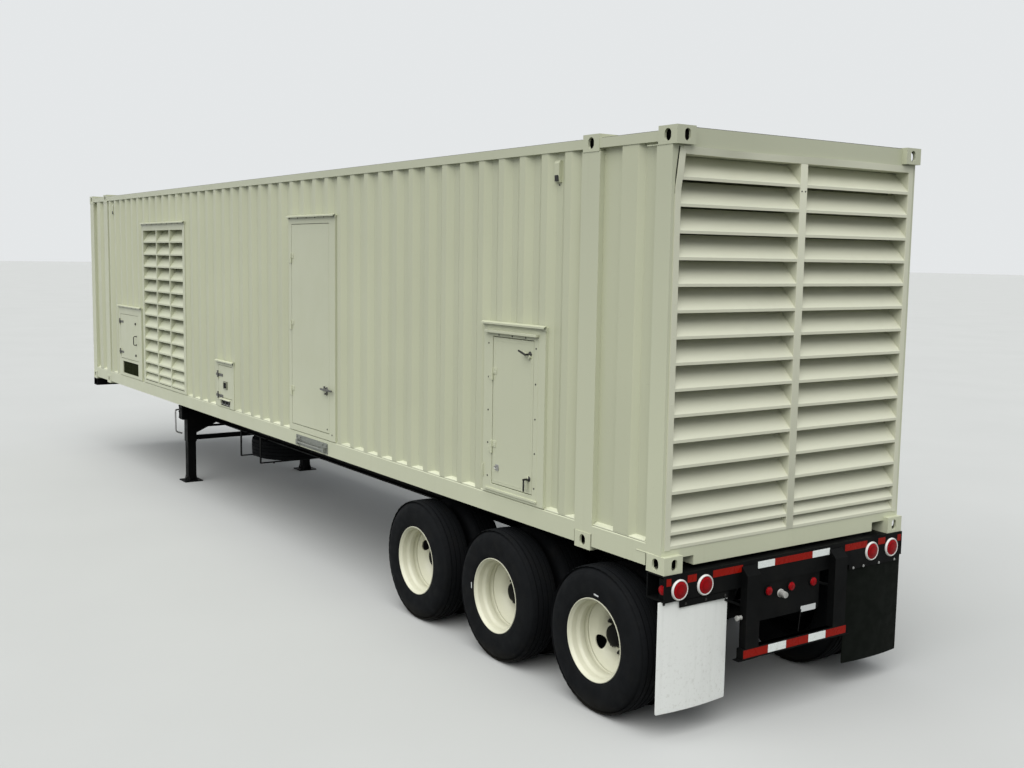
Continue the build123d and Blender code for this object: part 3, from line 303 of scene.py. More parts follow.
def regular(count, radius, start=0.0):
    """Corners of a regular polygon."""
    a = start + np.arange(count) * 2 * np.pi / count
    return np.stack([radius * np.cos(a), radius * np.sin(a)], -1)


def slab(profile, thickness, bevel):
    """A flat outline raised along Z from 0, its two rims bevelled.

    The rings are the outline scaled in towards its middle by the bevel, at the
    bottom and top, and the whole outline between them.
    """
    profile = np.asarray(profile, float)
    reach = np.abs(profile).max(axis=0)
    small = profile * (1 - bevel / np.maximum(reach, 1e-6))
    b = min(bevel, thickness / 2)
    levels = [(small, 0), (profile, b), (profile, thickness - b), (small, thickness)]
    return shell(np.stack([np.column_stack([o, np.full(len(o), z)]) for o, z in levels]))


def box_between(low, high, bevel=0.001, radius=0.002):
    """A block between two corners, with rounded upright edges and bevelled rims."""
    low, high = np.minimum(low, high), np.maximum(low, high)
    size = high - low
    thin = int(np.argmin(size))
    direction = np.eye(3)[thin]
    across = np.eye(3)[(thin + 1) % 3]
    w, h = size[(thin + 1) % 3], size[(thin + 2) % 3]
    profile = rounded(w, h, min(radius, w / 2.01, h / 2.01), 3)
    base = (low + high) / 2 - direction * size[thin] / 2
    return placed(slab(profile, size[thin], min(bevel, size[thin] / 3)), base, direction, across)


def wall_block(low, high, bevel=0.001, radius=0.003, sign=-1):
    """A block on a side wall, between two corners given as on_wall takes them."""
    return box_between(on_wall(*low, sign=sign), on_wall(*high, sign=sign), bevel, radius)


def tube(path, radius, sides=10):
    """A round bar along a path.

    Point (u, v) is path(u) + radius (cos v N(u) + sin v B(u)), where N and B are
    at right angles to the path's run and N is carried from one point to the next.
    """
    path = np.asarray(path, float)
    run = np.gradient(path, axis=0)
    run /= np.linalg.norm(run, axis=1)[:, None]
    spread = np.abs(run).sum(axis=0)
    seed = np.eye(3)[int(np.argmin(spread))]
    n = seed - run * (run @ seed)[:, None]
    n /= np.linalg.norm(n, axis=1)[:, None]
    b = np.cross(run, n)
    v = np.linspace(0, 2 * np.pi, sides, endpoint=False)
    radius = np.broadcast_to(radius, (len(path),))
    rings = path[:, None] + radius[:, None, None] * (
        np.cos(v)[None, :, None] * n[:, None] + np.sin(v)[None, :, None] * b[:, None]
    )
    return shell(rings)


def staple(start, end, low, high, bend, radius, sides=10):
    """A bar that leaves a side wall at one place of x and z, runs along it and goes back at another."""
    corners = [on_wall(*at, proud) for at, proud in ((start, low), (start, high), (end, high), (end, low))]
    return tube(bent(corners, bend), radius, sides)


def picture_frame(outer, inner, thick):
    """A flat ring on the near wall between two boxes of x and z, standing off its face.

    Its section is a rectangle with one bevelled front edge each way, carried
    round the four corners.
    """
    corner = np.array([(0, 2), (1, 2), (1, 3), (0, 3)])
    o, i = np.ravel(outer)[corner], np.ravel(inner)[corner]
    o2 = o + np.sign(i - o) * thick * 0.4
    i2 = i - np.sign(i - o) * thick * 0.4
    rows = [(o, 0), (o, thick * 0.6), (o2, thick), (i2, thick), (i, thick * 0.6), (i, 0)]
    rings = np.stack(
        [np.column_stack([MID_X + e[:, 0], np.full(4, -(FACE + d)), DECK + e[:, 1]]) for e, d in rows], 1
    )
    return shell(rings, wrap=True)


def dome(radius, rise=0.7):
    """A low round head, from a quarter of an ellipse turned about Z."""
    t = np.linspace(0, np.pi / 2, 6)[:-1]
    points = [(0.0008, 0.0)] + list(zip(radius * np.cos(t), radius * rise * np.sin(t)))
    return lathe(points + [(0.0008, radius * rise)], 14)


def hex_head(across, height):
    """A hexagon head on a round washer."""
    washer = turned([(across * 0.7, 0), (across * 0.7, across * 0.1)], 18)
    return merged([washer, slab(regular(6, across / np.sqrt(3)), height, height * 0.15)])


def bent(corners, radius, steps=6):
    """A path through corners, each cut to a quadratic curve over the given distance."""
    corners = np.asarray(corners, float)
    out = [corners[:1]]
    t = np.linspace(0, 1, steps)[:, None]
    for before, at, after in zip(corners[:-2], corners[1:-1], corners[2:]):
        a = at + (before - at) / np.linalg.norm(before - at) * min(radius, np.linalg.norm(before - at) * 0.45)
        c = at + (after - at) / np.linalg.norm(after - at) * min(radius, np.linalg.norm(after - at) * 0.45)
        out.append((1 - t) ** 2 * a + 2 * t * (1 - t) * at + t**2 * c)
    out.append(corners[-1:])
    return np.vstack(out)


def linked(name, data):
    """A new object in the scene."""
    made = bpy.data.objects.new(name, data)
    bpy.context.scene.collection.objects.link(made)
    return made


def put(name, shells, finish, body="frame", replaces=(), sharp=35.0):
    """Makes the object of some shells, smooth but for edges sharper than an angle, riding on a body."""
    points, quads, tris = joined(shells if isinstance(shells, list) else [shells])
    mesh = bpy.data.meshes.new(name)
    mesh.from_pydata(points.tolist(), [], quads.tolist() + tris.tolist())
    mesh.validate()
    mesh.shade_smooth()
    mesh.set_sharp_from_angle(angle=np.radians(sharp))
    mesh.materials.append(bpy.data.materials[finish])
    piece = linked(name, mesh)
    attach(piece, body)
    if replaces:
        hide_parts(*replaces)


# ---------------------------------------------------------------- finishes


def feed(tree, socket, value):
    """Links a socket to an output, or gives it a fixed value."""
    if isinstance(value, bpy.types.NodeSocket):
        tree.links.new(value, socket)
    else:
        socket.default_value = value


def node_in(tree, kind, inputs=None, **settings):
    """A new node with its settings and its inputs, given by name or number."""
    node = tree.nodes.new(kind)
    for key, value in settings.items():
        setattr(node, key, value)
    for key, value in (inputs or {}).items():
        feed(tree, node.inputs[key], value)
    return node


class Finish:
    """A node material that is put together socket by socket, from the shader's fixed sockets on."""

    def __init__(self, name, **sockets):
        self.material = bpy.data.materials.new(name)
        self.material.use_nodes = True
        self.tree = self.material.node_tree
        self.shader = self.tree.nodes["Principled BSDF"]
        for key, value in sockets.items():
            self.shader.inputs[key.replace("_", " ")].default_value = value
        self.place = self.add("ShaderNodeTexCoord").outputs["Object"]

    def add(self, kind, inputs=None, **settings):
        return node_in(self.tree, kind, inputs, **settings)

    def noise(self, scale, detail, roughness=0.55, stretch=None):
        source = self.place
        if stretch:
            mapping = {"Vector": self.place, "Scale": stretch}
            source = self.add("ShaderNodeMapping", mapping).outputs["Vector"]
        return self.add(
            "ShaderNodeTexNoise",
            {"Vector": source, "Scale": scale, "Detail": detail, "Roughness": roughness},
        ).outputs["Fac"]

    def cells(self, feature, scale, randomness=1.0):
        inputs = {"Vector": self.place, "Scale": scale, "Randomness": randomness}
        return self.add("ShaderNodeTexVoronoi", inputs, feature=feature)

    def height(self):
        """Height in the piece's own frame."""
        return self.add("ShaderNodeSeparateXYZ", {"Vector": self.place}).outputs["Z"]

    def span(self, value, low, high, out_low=0.0, out_high=1.0, kind="SMOOTHSTEP"):
        return self.add(
            "ShaderNodeMapRange",
            {"Value": value, "From Min": low, "From Max": high, "To Min": out_low, "To Max": out_high},
            interpolation_type=kind,
        ).outputs["Result"]

    def patches(self, scale, detail, low, high, *out, **noise):
        """Noise spread over a range."""
        return self.span(self.noise(scale, detail, **noise), low, high, *out)

    def times(self, a, b):
        return self.add("ShaderNodeMath", {0: a, 1: b}, operation="MULTIPLY").outputs[0]

    def mix(self, share, a, b):
        a, b = (c if isinstance(c, bpy.types.NodeSocket) else (*c, 1.0) for c in (a, b))
        return self.add("ShaderNodeMix", {0: share, 6: a, 7: b}, data_type="RGBA").outputs[2]

    def bump(self, height, distance, strength, onto=None):
        inputs = {"Height": height, "Distance": distance, "Strength": strength}
        if onto is not None:
            inputs["Normal"] = onto
        return self.add("ShaderNodeBump", inputs).outputs["Normal"]

    def show(self, colour, roughness=None, normal=None):
        for key, value in (("Base Color", colour), ("Roughness", roughness), ("Normal", normal)):
            if value is not None:
                feed(self.tree, self.shader.inputs[key], value)
        return self.material


def tint(colour, by):
    """A colour times a number or three numbers."""
    return tuple(np.clip(np.array(colour) * by, 0, 1))


def enamel(name, colour, wear=1.0, dust_top=1.35, ripple=0.0016, painted_top_shade=0.0):
    """Sprayed enamel on steel: patches, rain streaks, dust low down and orange peel, with a share of painted
    shade that greys it towards the roof.
    """
    f = Finish(name, Roughness=0.42, Coat_Weight=0.12, Coat_Roughness=0.25)
    patches = f.patches(0.7, 2, 0.3, 0.7)
    base = f.mix(patches, tint(colour, 0.965), tint(colour, 1.02))
    streaks = f.patches(9, 4, 0.56, 0.8, 0, 0.16 * wear, roughness=0.6, stretch=(1, 1, 0.06))
    base = f.mix(streaks, base, tint(colour, (0.72, 0.7, 0.66)))
    specks = f.patches(60, 2, 0.68, 0.74, 0, 0.12 * wear)
    base = f.mix(specks, base, tint(colour, (0.55, 0.48, 0.4)))
    low = f.span(f.height(), dust_top, dust_top - 0.75, 0, 1)
    splash = f.times(low, f.patches(5, 4, 0.42, 0.75, 0, 0.3 * wear, roughness=0.7))
    base = f.mix(splash, base, (0.3, 0.27, 0.2))
    # painted shade: the enamel greys from 1.3 m up towards the roof, as if the upper parts lay in shade
    if painted_top_shade:
        base = f.mix(f.span(f.height(), 1.3, 4.0, 0, painted_top_shade, "LINEAR"), base, tint(colour, (0.5, 0.5, 0.52)))
    rough = f.patches(4, 3, 0.3, 0.75, 0.36, 0.5)
    peel = f.bump(f.noise(260, 1), 0.00025, 0.35)
    oiled = f.bump(f.noise(2.3, 1, 0.4, stretch=(1, 1, 0.5)), ripple, 0.55, onto=peel)
    return f.show(base, rough, oiled)


def satin_black(name, colour):
    """Satin black on rolled steel, with grey road dust on it and chips along it."""
    f = Finish(name, Roughness=0.5, Specular_IOR_Level=0.05)
    dust = f.patches(3.2, 5, 0.45, 0.8, 0, 0.5, roughness=0.65)
    base = f.mix(dust, colour, (0.012, 0.0115, 0.01))
    chips = f.patches(45, 3, 0.72, 0.78, 0, 0.5, roughness=0.7)
    base = f.mix(chips, base, (0.05, 0.035, 0.025))
    rough = f.patches(6, 3, 0.3, 0.7, 0.38, 0.62)
    return f.show(base, rough, f.bump(f.noise(120, 2), 0.0004, 0.4))


def rubber(name, colour, dust=0.5):
    """Tyre and hose rubber, matt, a little browner where road dust sits."""
    f = Finish(name, Roughness=0.78, Specular_IOR_Level=0.07)
    brown = f.patches(7, 4, 0.48, 0.82, 0, dust, roughness=0.65)
    base = f.mix(brown, colour, (0.011, 0.0105, 0.009))
    low = f.span(f.height(), 0.16, 0.0, 0, 0.35)
    base = f.mix(f.times(low, f.noise(22, 3)), base, (0.06, 0.052, 0.036))
    rough = f.patches(11, 3, 0.3, 0.7, 0.66, 0.86)
    return f.show(base, rough, f.bump(f.noise(300, 2), 0.0003, 0.4))


def zinc(name):
    """Hot-dip zinc: flat grey crystals of slightly different tone, dulled."""
    f = Finish(name, Roughness=0.48, Metallic=0.75)
    crystals = f.cells("F1", 85.0).outputs["Color"]
    tone = f.add("ShaderNodeSeparateColor", {"Color": crystals}).outputs[0]
    base = f.mix(tone, (0.2, 0.21, 0.19), (0.3, 0.31, 0.28))
    stain = f.patches(14, 4, 0.55, 0.8, 0, 0.5)
    base = f.mix(stain, base, (0.15, 0.145, 0.12))
    return f.show(base, f.span(tone, 0, 1, 0.4, 0.58), f.bump(f.noise(70, 2), 0.0003, 0.4))


def lens(name, colour):
    """Moulded lamp lens with a grid of small prisms under a clear skin."""
    f = Finish(name, Roughness=0.22, Specular_IOR_Level=0.1)
    prisms = f.cells("F1", 160.0, 0.15).outputs["Distance"]
    base = f.mix(f.span(prisms, 0.1, 0.6), tint(colour, 1.25), tint(colour, 0.55))
    return f.show(base, None, f.bump(prisms, 0.0008, 0.5))


def tape(name, colour):
    """Prismatic marking tape: fine crossed lines under a gloss film, a little soiled."""
    f = Finish(name, Roughness=0.3, Specular_IOR_Level=0.08)
    lines = f.cells("DISTANCE_TO_EDGE", 190.0, 0.0).outputs["Distance"]
    base = f.mix(f.span(lines, 0.0, 0.12), tint(colour, 0.62), colour)
    soil = f.patches(18, 4, 0.5, 0.8, 0, 0.35)
    base = f.mix(soil, base, tint(colour, (0.4, 0.36, 0.3)))
    return f.show(base, f.patches(25, 2, 0.3, 0.7, 0.22, 0.42), f.bump(lines, 0.0004, 0.3))


def smooth_sheet(name, colour, dirt=0.5):
    """Moulded sheet with faint runs down it, soiled towards its foot."""
    f = Finish(name, Roughness=0.45)
    runs = f.patches(16, 4, 0.45, 0.8, 0, 0.4 * dirt, roughness=0.6, stretch=(1, 1, 0.07))
    base = f.mix(runs, colour, tint(colour, (0.66, 0.66, 0.64)))
    low = f.span(f.height(), 0.95, 0.2, 0.05, 1.0, "LINEAR")
    spots = f.times(low, f.patches(38, 4, 0.52, 0.72, 0, 0.5 * dirt, roughness=0.7))
    base = f.mix(spots, base, (0.22, 0.2, 0.15))
    return f.show(base, f.patches(9, 3, 0.3, 0.7, 0.36, 0.55), f.bump(f.noise(8, 2), 0.002, 0.3))


def plain_metal(name, colour, roughness, metallic):
    """Turned or pressed hardware with small tone and gloss changes."""
    f = Finish(name, Metallic=metallic)
    base = f.mix(f.patches(40, 4, 0.35, 0.7), colour, tint(colour, 0.72))
    rough = f.patches(55, 3, 0.3, 0.7, roughness - 0.07, roughness + 0.08)
    return f.show(base, rough, f.bump(f.noise(180, 2), 0.0002, 0.4))


class GENSET_OT_finishes(bpy.types.Operator):
    """Make every finish and give the carried-over nodes theirs"""

    bl_idname = "genset.finishes"
    bl_label = "Finishes"

    def execute(self, context):
        paint = context.scene.genset_paint
        cream = paint.enclosure
        # lit and shaded copies of the one cream paint, as painted light: walls a shade darker, rails, frames
        # and doors a shade lighter, louvres lighter still as if lit from above
        enamel("lit_enclosure_enamel", tint(cream, (1.06, 1.05, 1.07)), painted_top_shade=0.3)
        enamel("shaded_wall_enamel", tint(cream, (0.95, 0.94, 0.94)), painted_top_shade=0.06)
        enamel("lit_louvre_enamel", tint(cream, (1.17, 1.13, 1.24)), wear=0.7, ripple=0.0006)
        # a still paler copy: a painted highlight on the sloping fillets along the bottom rails
        enamel("highlight_enamel", tint(cream, (1.2, 1.18, 1.24)), wear=0.5, dust_top=1.1, ripple=0.0)
        enamel("roof_enamel", tint(cream, (0.97, 0.96, 0.95)), wear=2.0)
        enamel("wheel_enamel", paint.wheel, wear=1.2, dust_top=0.3, ripple=0.0)
        enamel("deck_primer", (0.16, 0.165, 0.16), wear=2.5, dust_top=1.4)
        satin_black("chassis_enamel", paint.chassis)
        satin_black("fitting_black", (0.005, 0.005, 0.005))
        rubber("road_rubber", paint.rubber)
        rubber("seal_rubber", (0.008, 0.008, 0.008), 0.3)
        rubber("black_flap", (0.0035, 0.0048, 0.0035), 0.3)
        zinc("galvanised_steel")
        lens("red_lens", (0.36, 0.0015, 0.005))
        tape("red_tape", (0.29, 0.009, 0.004))
        tape("white_tape", (0.87, 0.92, 0.9))
        smooth_sheet("white_flap", paint.flap)
        smooth_sheet("white_grommet", (0.7, 0.7, 0.68), 0.3)
        smooth_sheet("bare_label", (0.62, 0.64, 0.64), 0.25)
        rubber("guard_coating", (0.02, 0.024, 0.009), 0.2)
        plain_metal("steel_hardware", (0.42, 0.42, 0.41), 0.42, 0.9)
        plain_metal("worn_steel", (0.13, 0.13, 0.12), 0.36, 0.7)
        # black for the plates inside the castings: painted shade
        rubber("casting_shade_black", (0.006, 0.006, 0.0055), 0.2)
        plain_metal("dark_hardware", (0.028, 0.028, 0.026), 0.4, 0.6)
        plain_metal("grey_socket", (0.42, 0.42, 0.4), 0.5, 0.15)
        by_slot = {
            "enclosure_paint": "lit_enclosure_enamel",
            "louvre_paint": "lit_louvre_enamel",
            "roof_paint": "roof_enamel",
            "deck_paint": "deck_primer",
            "chassis_black": "chassis_enamel",
            "wheel_cream": "wheel_enamel",
            "tyre_rubber": "road_rubber",
            "hardware_dark": "dark_hardware",
            "guard_mesh": "guard_coating",
            "galvanised": "galvanised_steel",
            "lamp_lens": "red_lens",
            "flap_white": "white_flap",
        }
        for part in frame["record"]["subparts"]:
            carried = frame["nodes"][part["node"]]
            for holder in carried.material_slots:
                finish = by_slot[part["material_slot"]]
                # wall nodes take the darker, shaded copy, and the intake louvre takes the frames' copy rather
                # than the louvres' lighter one
                if "wall" in part["node"] and finish == "lit_enclosure_enamel":
                    finish = "shaded_wall_enamel"
                if "intake" in part["node"] and finish == "lit_louvre_enamel":
                    finish = "lit_enclosure_enamel"
                holder.material = bpy.data.materials[finish]
        return {"FINISHED"}


# ---------------------------------------------------------------- running gear


def tyre_section(radius, half_width, bead):
    """Half-turned section of a highway tyre, closed, as (radius, along) points.

    The side walls are arcs of a superellipse, |a|^e + |r|^e = 1 between bead
    and shoulder, fuller towards the bead, with rings raised on each. The tread
    crowns down by the square of the distance from its middle, and four grooves
    cut it.
    """
    deep, wide = (radius - bead) / 2, half_width
    mid = bead + deep
    t = np.linspace(-0.965, 0.86, 34)
    power = np.where(t < 0, 6.5, 2.6)
    along = wide * (1 - np.abs(t) ** power) ** (1 / power)
    along *= 1 - 0.05 * np.clip(-t, 0, 1) ** 2
    r = mid + deep * t
    along -= 0.002 * np.exp(-(((r - radius + 0.05) / 0.004) ** 2))
    along -= 0.0016 * np.exp(-(((r - bead - 0.036) / 0.004) ** 2))
    tread = wide * 0.79
    g = tread * np.array([-0.62, -0.21, 0.21, 0.62])
    cut = g[:, None] + np.array([-0.0062, -0.0042, 0.0042, 0.0062])
    depth = np.tile([0, 0.013, 0.013, 0], 4)
    a = np.concatenate([[-tread, -tread * 0.9], cut.ravel(), [tread * 0.9, tread]])
    d = np.concatenate([[0.005, 0.0012], depth, [0.0012, 0.005]])
    crown = radius - 0.003 * (a / tread) ** 2 - d
    # bead to shoulder on the outer side, tread back across, and down the inner side
    outer, tread, inner = (r, along), (crown[::-1], a[::-1]), (r[::-1], -along[::-1])
    return np.vstack([np.column_stack(part) for part in (outer, tread, inner)])


def tyre_shell(radius, half_width, bead, segments):
    """The section turned about Z, with small notches in the shoulders.

    Point (u, v) is (r cos u, r sin u, a); r loses a few millimetres where
    cos(48 u) is high and |a| is near the tread's edge.
    """
    section = tyre_section(radius, half_width, bead)[::-1]
    r, a = section.T
    u = np.linspace(0, 2 * np.pi, segments, endpoint=False)
    edge = (np.abs(np.abs(a) - half_width * 0.75) < half_width * 0.06) & (r > radius * 0.97)
    notch = 0.0035 * np.clip(np.cos(48 * u) * 3, 0, 1)
    rr = r[:, None] - edge[:, None] * notch[None, :]
    rings = np.stack([rr * np.cos(u), rr * np.sin(u), np.broadcast_to(a[:, None], rr.shape)], -1)
    return shell(rings, wrap=True)


def rim_profile():
    """Closed section of a dual wheel, (radius, outward from the tyre's middle), run anticlockwise."""
    outer = [
        (0.2985, 0.118), (0.2985, 0.1235), (0.2955, 0.1255), (0.2915, 0.1245), (0.288, 0.118),
        (0.2825, 0.109), (0.2772, 0.1035), (0.2752, 0.096), (0.2742, 0.064), (0.272, 0.056),
        (0.2605, 0.042), (0.2575, 0.034), (0.2572, 0.004), (0.2592, -0.006), (0.2655, -0.014),
        (0.2672, -0.02), (0.266, -0.026), (0.2615, -0.03), (0.2602, -0.036), (0.2618, -0.043),
    ]
    back = [
        (0.2735, -0.056), (0.2742, -0.09), (0.2765, -0.1035), (0.2825, -0.11), (0.2885, -0.118),
        (0.291, -0.1235), (0.2955, -0.125), (0.2985, -0.1235), (0.2985, -0.117), (0.292, -0.112),
        (0.2868, -0.103), (0.2862, -0.082), (0.264, -0.05), (0.264, 0.03), (0.2862, 0.056),
        (0.2862, 0.103), (0.292, 0.112),
    ]
    return np.array(outer + back)


def disc_height(r):
    """How far inboard of the tyre's middle the disc's face lies at a radius.

    A smooth bowl: linear between the rim, the hand holes, the flange's edge
    and the seat.
    """
    return np.interp(
        r,
        [0.0, 0.083, 0.154, 0.16, 0.166, 0.18, 0.2, 0.225, 0.245, 0.26],
        [-0.1572, -0.1572, -0.1572, -0.1535, -0.141, -0.112, -0.085, -0.067, -0.055, -0.045],
    )


def disc_shell(hole, slot):
    """A dished disc with two oval holes, from its bore to its edge.

    Each half is a grid about its hole: u goes round the hole, v runs from the
    hole's rim out to the half ring's border, point = (1 - v) rim + v border.
    Heights come from disc_height, and the back face lies a sheet lower.
    """
    hole_at, bore, edge, sheet = 0.2, 0.083, 0.262, 0.009
    n, rows = 96, 9
    u = np.linspace(-np.pi / 2, 1.5 * np.pi, n, endpoint=False)
    rim = np.stack([hole_at + slot * np.cos(u), hole * np.sin(u)], -1)
    t = np.linspace(-np.pi / 2, np.pi / 2, 45)
    border = np.vstack(
        [
            np.stack([edge * np.cos(t), edge * np.sin(t)], -1),
            np.stack([np.zeros(5), np.linspace(edge, bore, 7)[1:-1]], -1),
            np.stack([bore * np.cos(t[::-1]), bore * np.sin(t[::-1])], -1),
            np.stack([np.zeros(5), np.linspace(-bore, -edge, 7)[1:-1]], -1),
            [(0, -edge)],
        ]
    )
    length = np.concatenate([[0], np.cumsum(np.linalg.norm(np.diff(border, axis=0), axis=1))])
    s = np.linspace(0, length[-1], n, endpoint=False)
    ring = np.stack([np.interp(s, length, border[:, 0]), np.interp(s, length, border[:, 1])], -1)
    v = np.linspace(0, 1, rows)[:, None, None]
    flat = (1 - v) * rim[None] + v * ring[None]
    r = np.linalg.norm(flat, axis=-1)
    top = np.concatenate([flat, disc_height(r)[..., None]], -1)
    low = top - np.array([0, 0, sheet])
    one = shell(np.concatenate([top, low[::-1]]), wrap=True)
    return copies(one, [(0, 0, 0), (0, 0, 0)], [np.eye(3), np.diag([-1.0, -1.0, 1.0])])


def nut_shell():
    """Hexagon nut with its washer flange and the stud's end."""
    across, height = 0.033, 0.024
    body = slab(regular(6, across / np.sqrt(3)), height, 0.002)
    washer = turned([(across * 0.72, 0), (across * 0.72, 0.004), (across * 0.5, 0.006)], 20, core=0.001)
    stud = turned([(0.0105, 0), (0.0105, height + 0.012), (0.008, height + 0.015)], 14, core=0.001)
    return merged([body, washer, stud])


def hub_profile():
    """Open section of hub barrel and oil cap, from the disc's seat outward."""
    return [
        (0.098, -0.16), (0.098, -0.146), (0.095, -0.143), (0.09, -0.138), (0.086, -0.11),
        (0.093, -0.108), (0.093, -0.101), (0.08, -0.099), (0.0775, -0.066), (0.073, -0.055),
        (0.06, -0.048), (0.035, -0.043), (0.012, -0.0415),
    ]


def drum_profile():
    """Closed section of a brake drum behind the discs, measured inboard from the pair's middle."""
    return [
        (0.12, -0.285), (0.182, -0.285), (0.187, -0.28), (0.187, -0.262), (0.182, -0.258),
        (0.182, -0.06), (0.168, -0.045), (0.13, -0.03), (0.12, -0.03),
    ]


# degrees that each wheel end's hand holes are turned by, as the photo shows them
HAND_HOLE_TURN = {"front": 160, "middle": 105, "rear": 209}
TYRE_HALF, BEAD = 0.1385, 0.2868  # half a tyre's width, and the radius of its seat on the rim
RIM_OUT = 0.1715  # from the pair's middle to the middle of each rim
NUT_SEAT = -0.157  # from the rim's middle, on the disc


class GENSET_OT_tyres(bpy.types.Operator):
    """Dual highway tyres on each wheel end, and the spare under the beams"""

    bl_idname = "genset.tyres"
    bl_label = "Tyres"

    def execute(self, context):
        sizes = context.scene.genset_wheels
        one = tyre_shell(TYRE_RADIUS - 0.0005, TYRE_HALF, BEAD, sizes.segments)
        apart = (TYRE_HIGH[1] - TYRE_LOW[1]) / 2 - TYRE_HALF - 0.001
        for side, sign in SIDES.items():
            for row, x in zip(ROWS, WHEEL_X):
                pair = [
                    placed(one, (x, sign * (DISC_Y + step * apart), TYRE_RADIUS), (0, sign, 0), Z)
                    for step in (-1, 1)
                ]
                put(
                    f"{side}_{row}_dual_tyres", pair, "road_rubber", f"{side}_{row}_wheel_end",
                    replaces=(f"{side}_{row}_tyres",), sharp=40,
                )
        label = slab(rounded(0.011, 0.05, 0.002, 3), 0.0008, 0.0002)
        for row, dx, z, lean in (("middle", -0.312, 0.537, 4), ("rear", 0.041, 0.861, -96)):
            spot = np.array([WHEEL_X[ROWS.index(row)] + dx, -TYRE_HIGH[1] + 0.0018, z])
            a = np.radians(lean)
            put(
                f"{row}_tyre_label", placed(label, spot, -Y, (np.cos(a), 0, np.sin(a))), "bare_label",
                f"near_{row}_wheel_end",
            )
        low, high = corners_of("spare_tyre")
        spare = tyre_shell((high[0] - low[0]) / 2 - 0.0005, TYRE_HALF, BEAD, sizes.segments)
        put(
            "spare_road_tyre", placed(spare, (low + high) / 2), "road_rubber",
            replaces=("spare_tyre",), sharp=40,
        )
        return {"FINISHED"}


class GENSET_OT_wheels(bpy.types.Operator):
    """Stepped rims, dished discs with hand holes, hubs, drums and nuts"""

    bl_idname = "genset.wheels"
    bl_label = "Wheels"

    def execute(self, context):
        sizes = context.scene.genset_wheels
        rim = lathe(rim_profile()[::-1], 96, wrap=True)
        disc = disc_shell(sizes.hand_hole, sizes.hand_slot)
        hub = lathe(hub_profile(), 48)
        drum = lathe(drum_profile(), 64, wrap=True)
        count = sizes.nut_count
        circle = regular(count, sizes.nut_circle, np.pi / count)
        nuts = copies(nut_shell(), np.column_stack([circle, np.full(count, NUT_SEAT)]))
        for side, sign in SIDES.items():
            for row, x in zip(ROWS, WHEEL_X):
                body = f"{side}_{row}_wheel_end"
                out = sign * Y
                centre = np.array([x, sign * DISC_Y, TYRE_RADIUS])
                a = np.radians(HAND_HOLE_TURN[row])
                toward = np.array([np.cos(a), 0, np.sin(a)])
                outer, inner = centre + out * RIM_OUT, centre - out * RIM_OUT
                shown = [placed(one, outer, out, toward) for one in (rim, disc)]
                hidden = [placed(one, inner, -out, toward) for one in (rim, disc)]
                put(
                    f"{side}_{row}_outer_rim", shown, "wheel_enamel", body,
                    replaces=(f"{side}_{row}_wheel",), sharp=30,
                )
                # the inner rim and disc are black as painted shade, so the outer disc's hand holes look dark
                # through to them
                put(f"{side}_{row}_shaded_inner_rim", hidden, "fitting_black", body, sharp=30)
                put(
                    f"{side}_{row}_hub", [placed(hub, outer, out), placed(drum, centre, out)],
                    "fitting_black", body, sharp=30,
                )
                put(
                    f"{side}_{row}_wheel_nuts", placed(nuts, outer, out, toward), "dark_hardware",
                    body, sharp=30,
                )
        return {"FINISHED"}


# ---------------------------------------------------------------- rear lights and markings


def strip(y0, y1, z, height, x):
    """A strip of tape across the rear, on the face at x."""
    return box_between((x, y0, z - height / 2), (x + 0.0012, y1, z + height / 2), 0.0003)


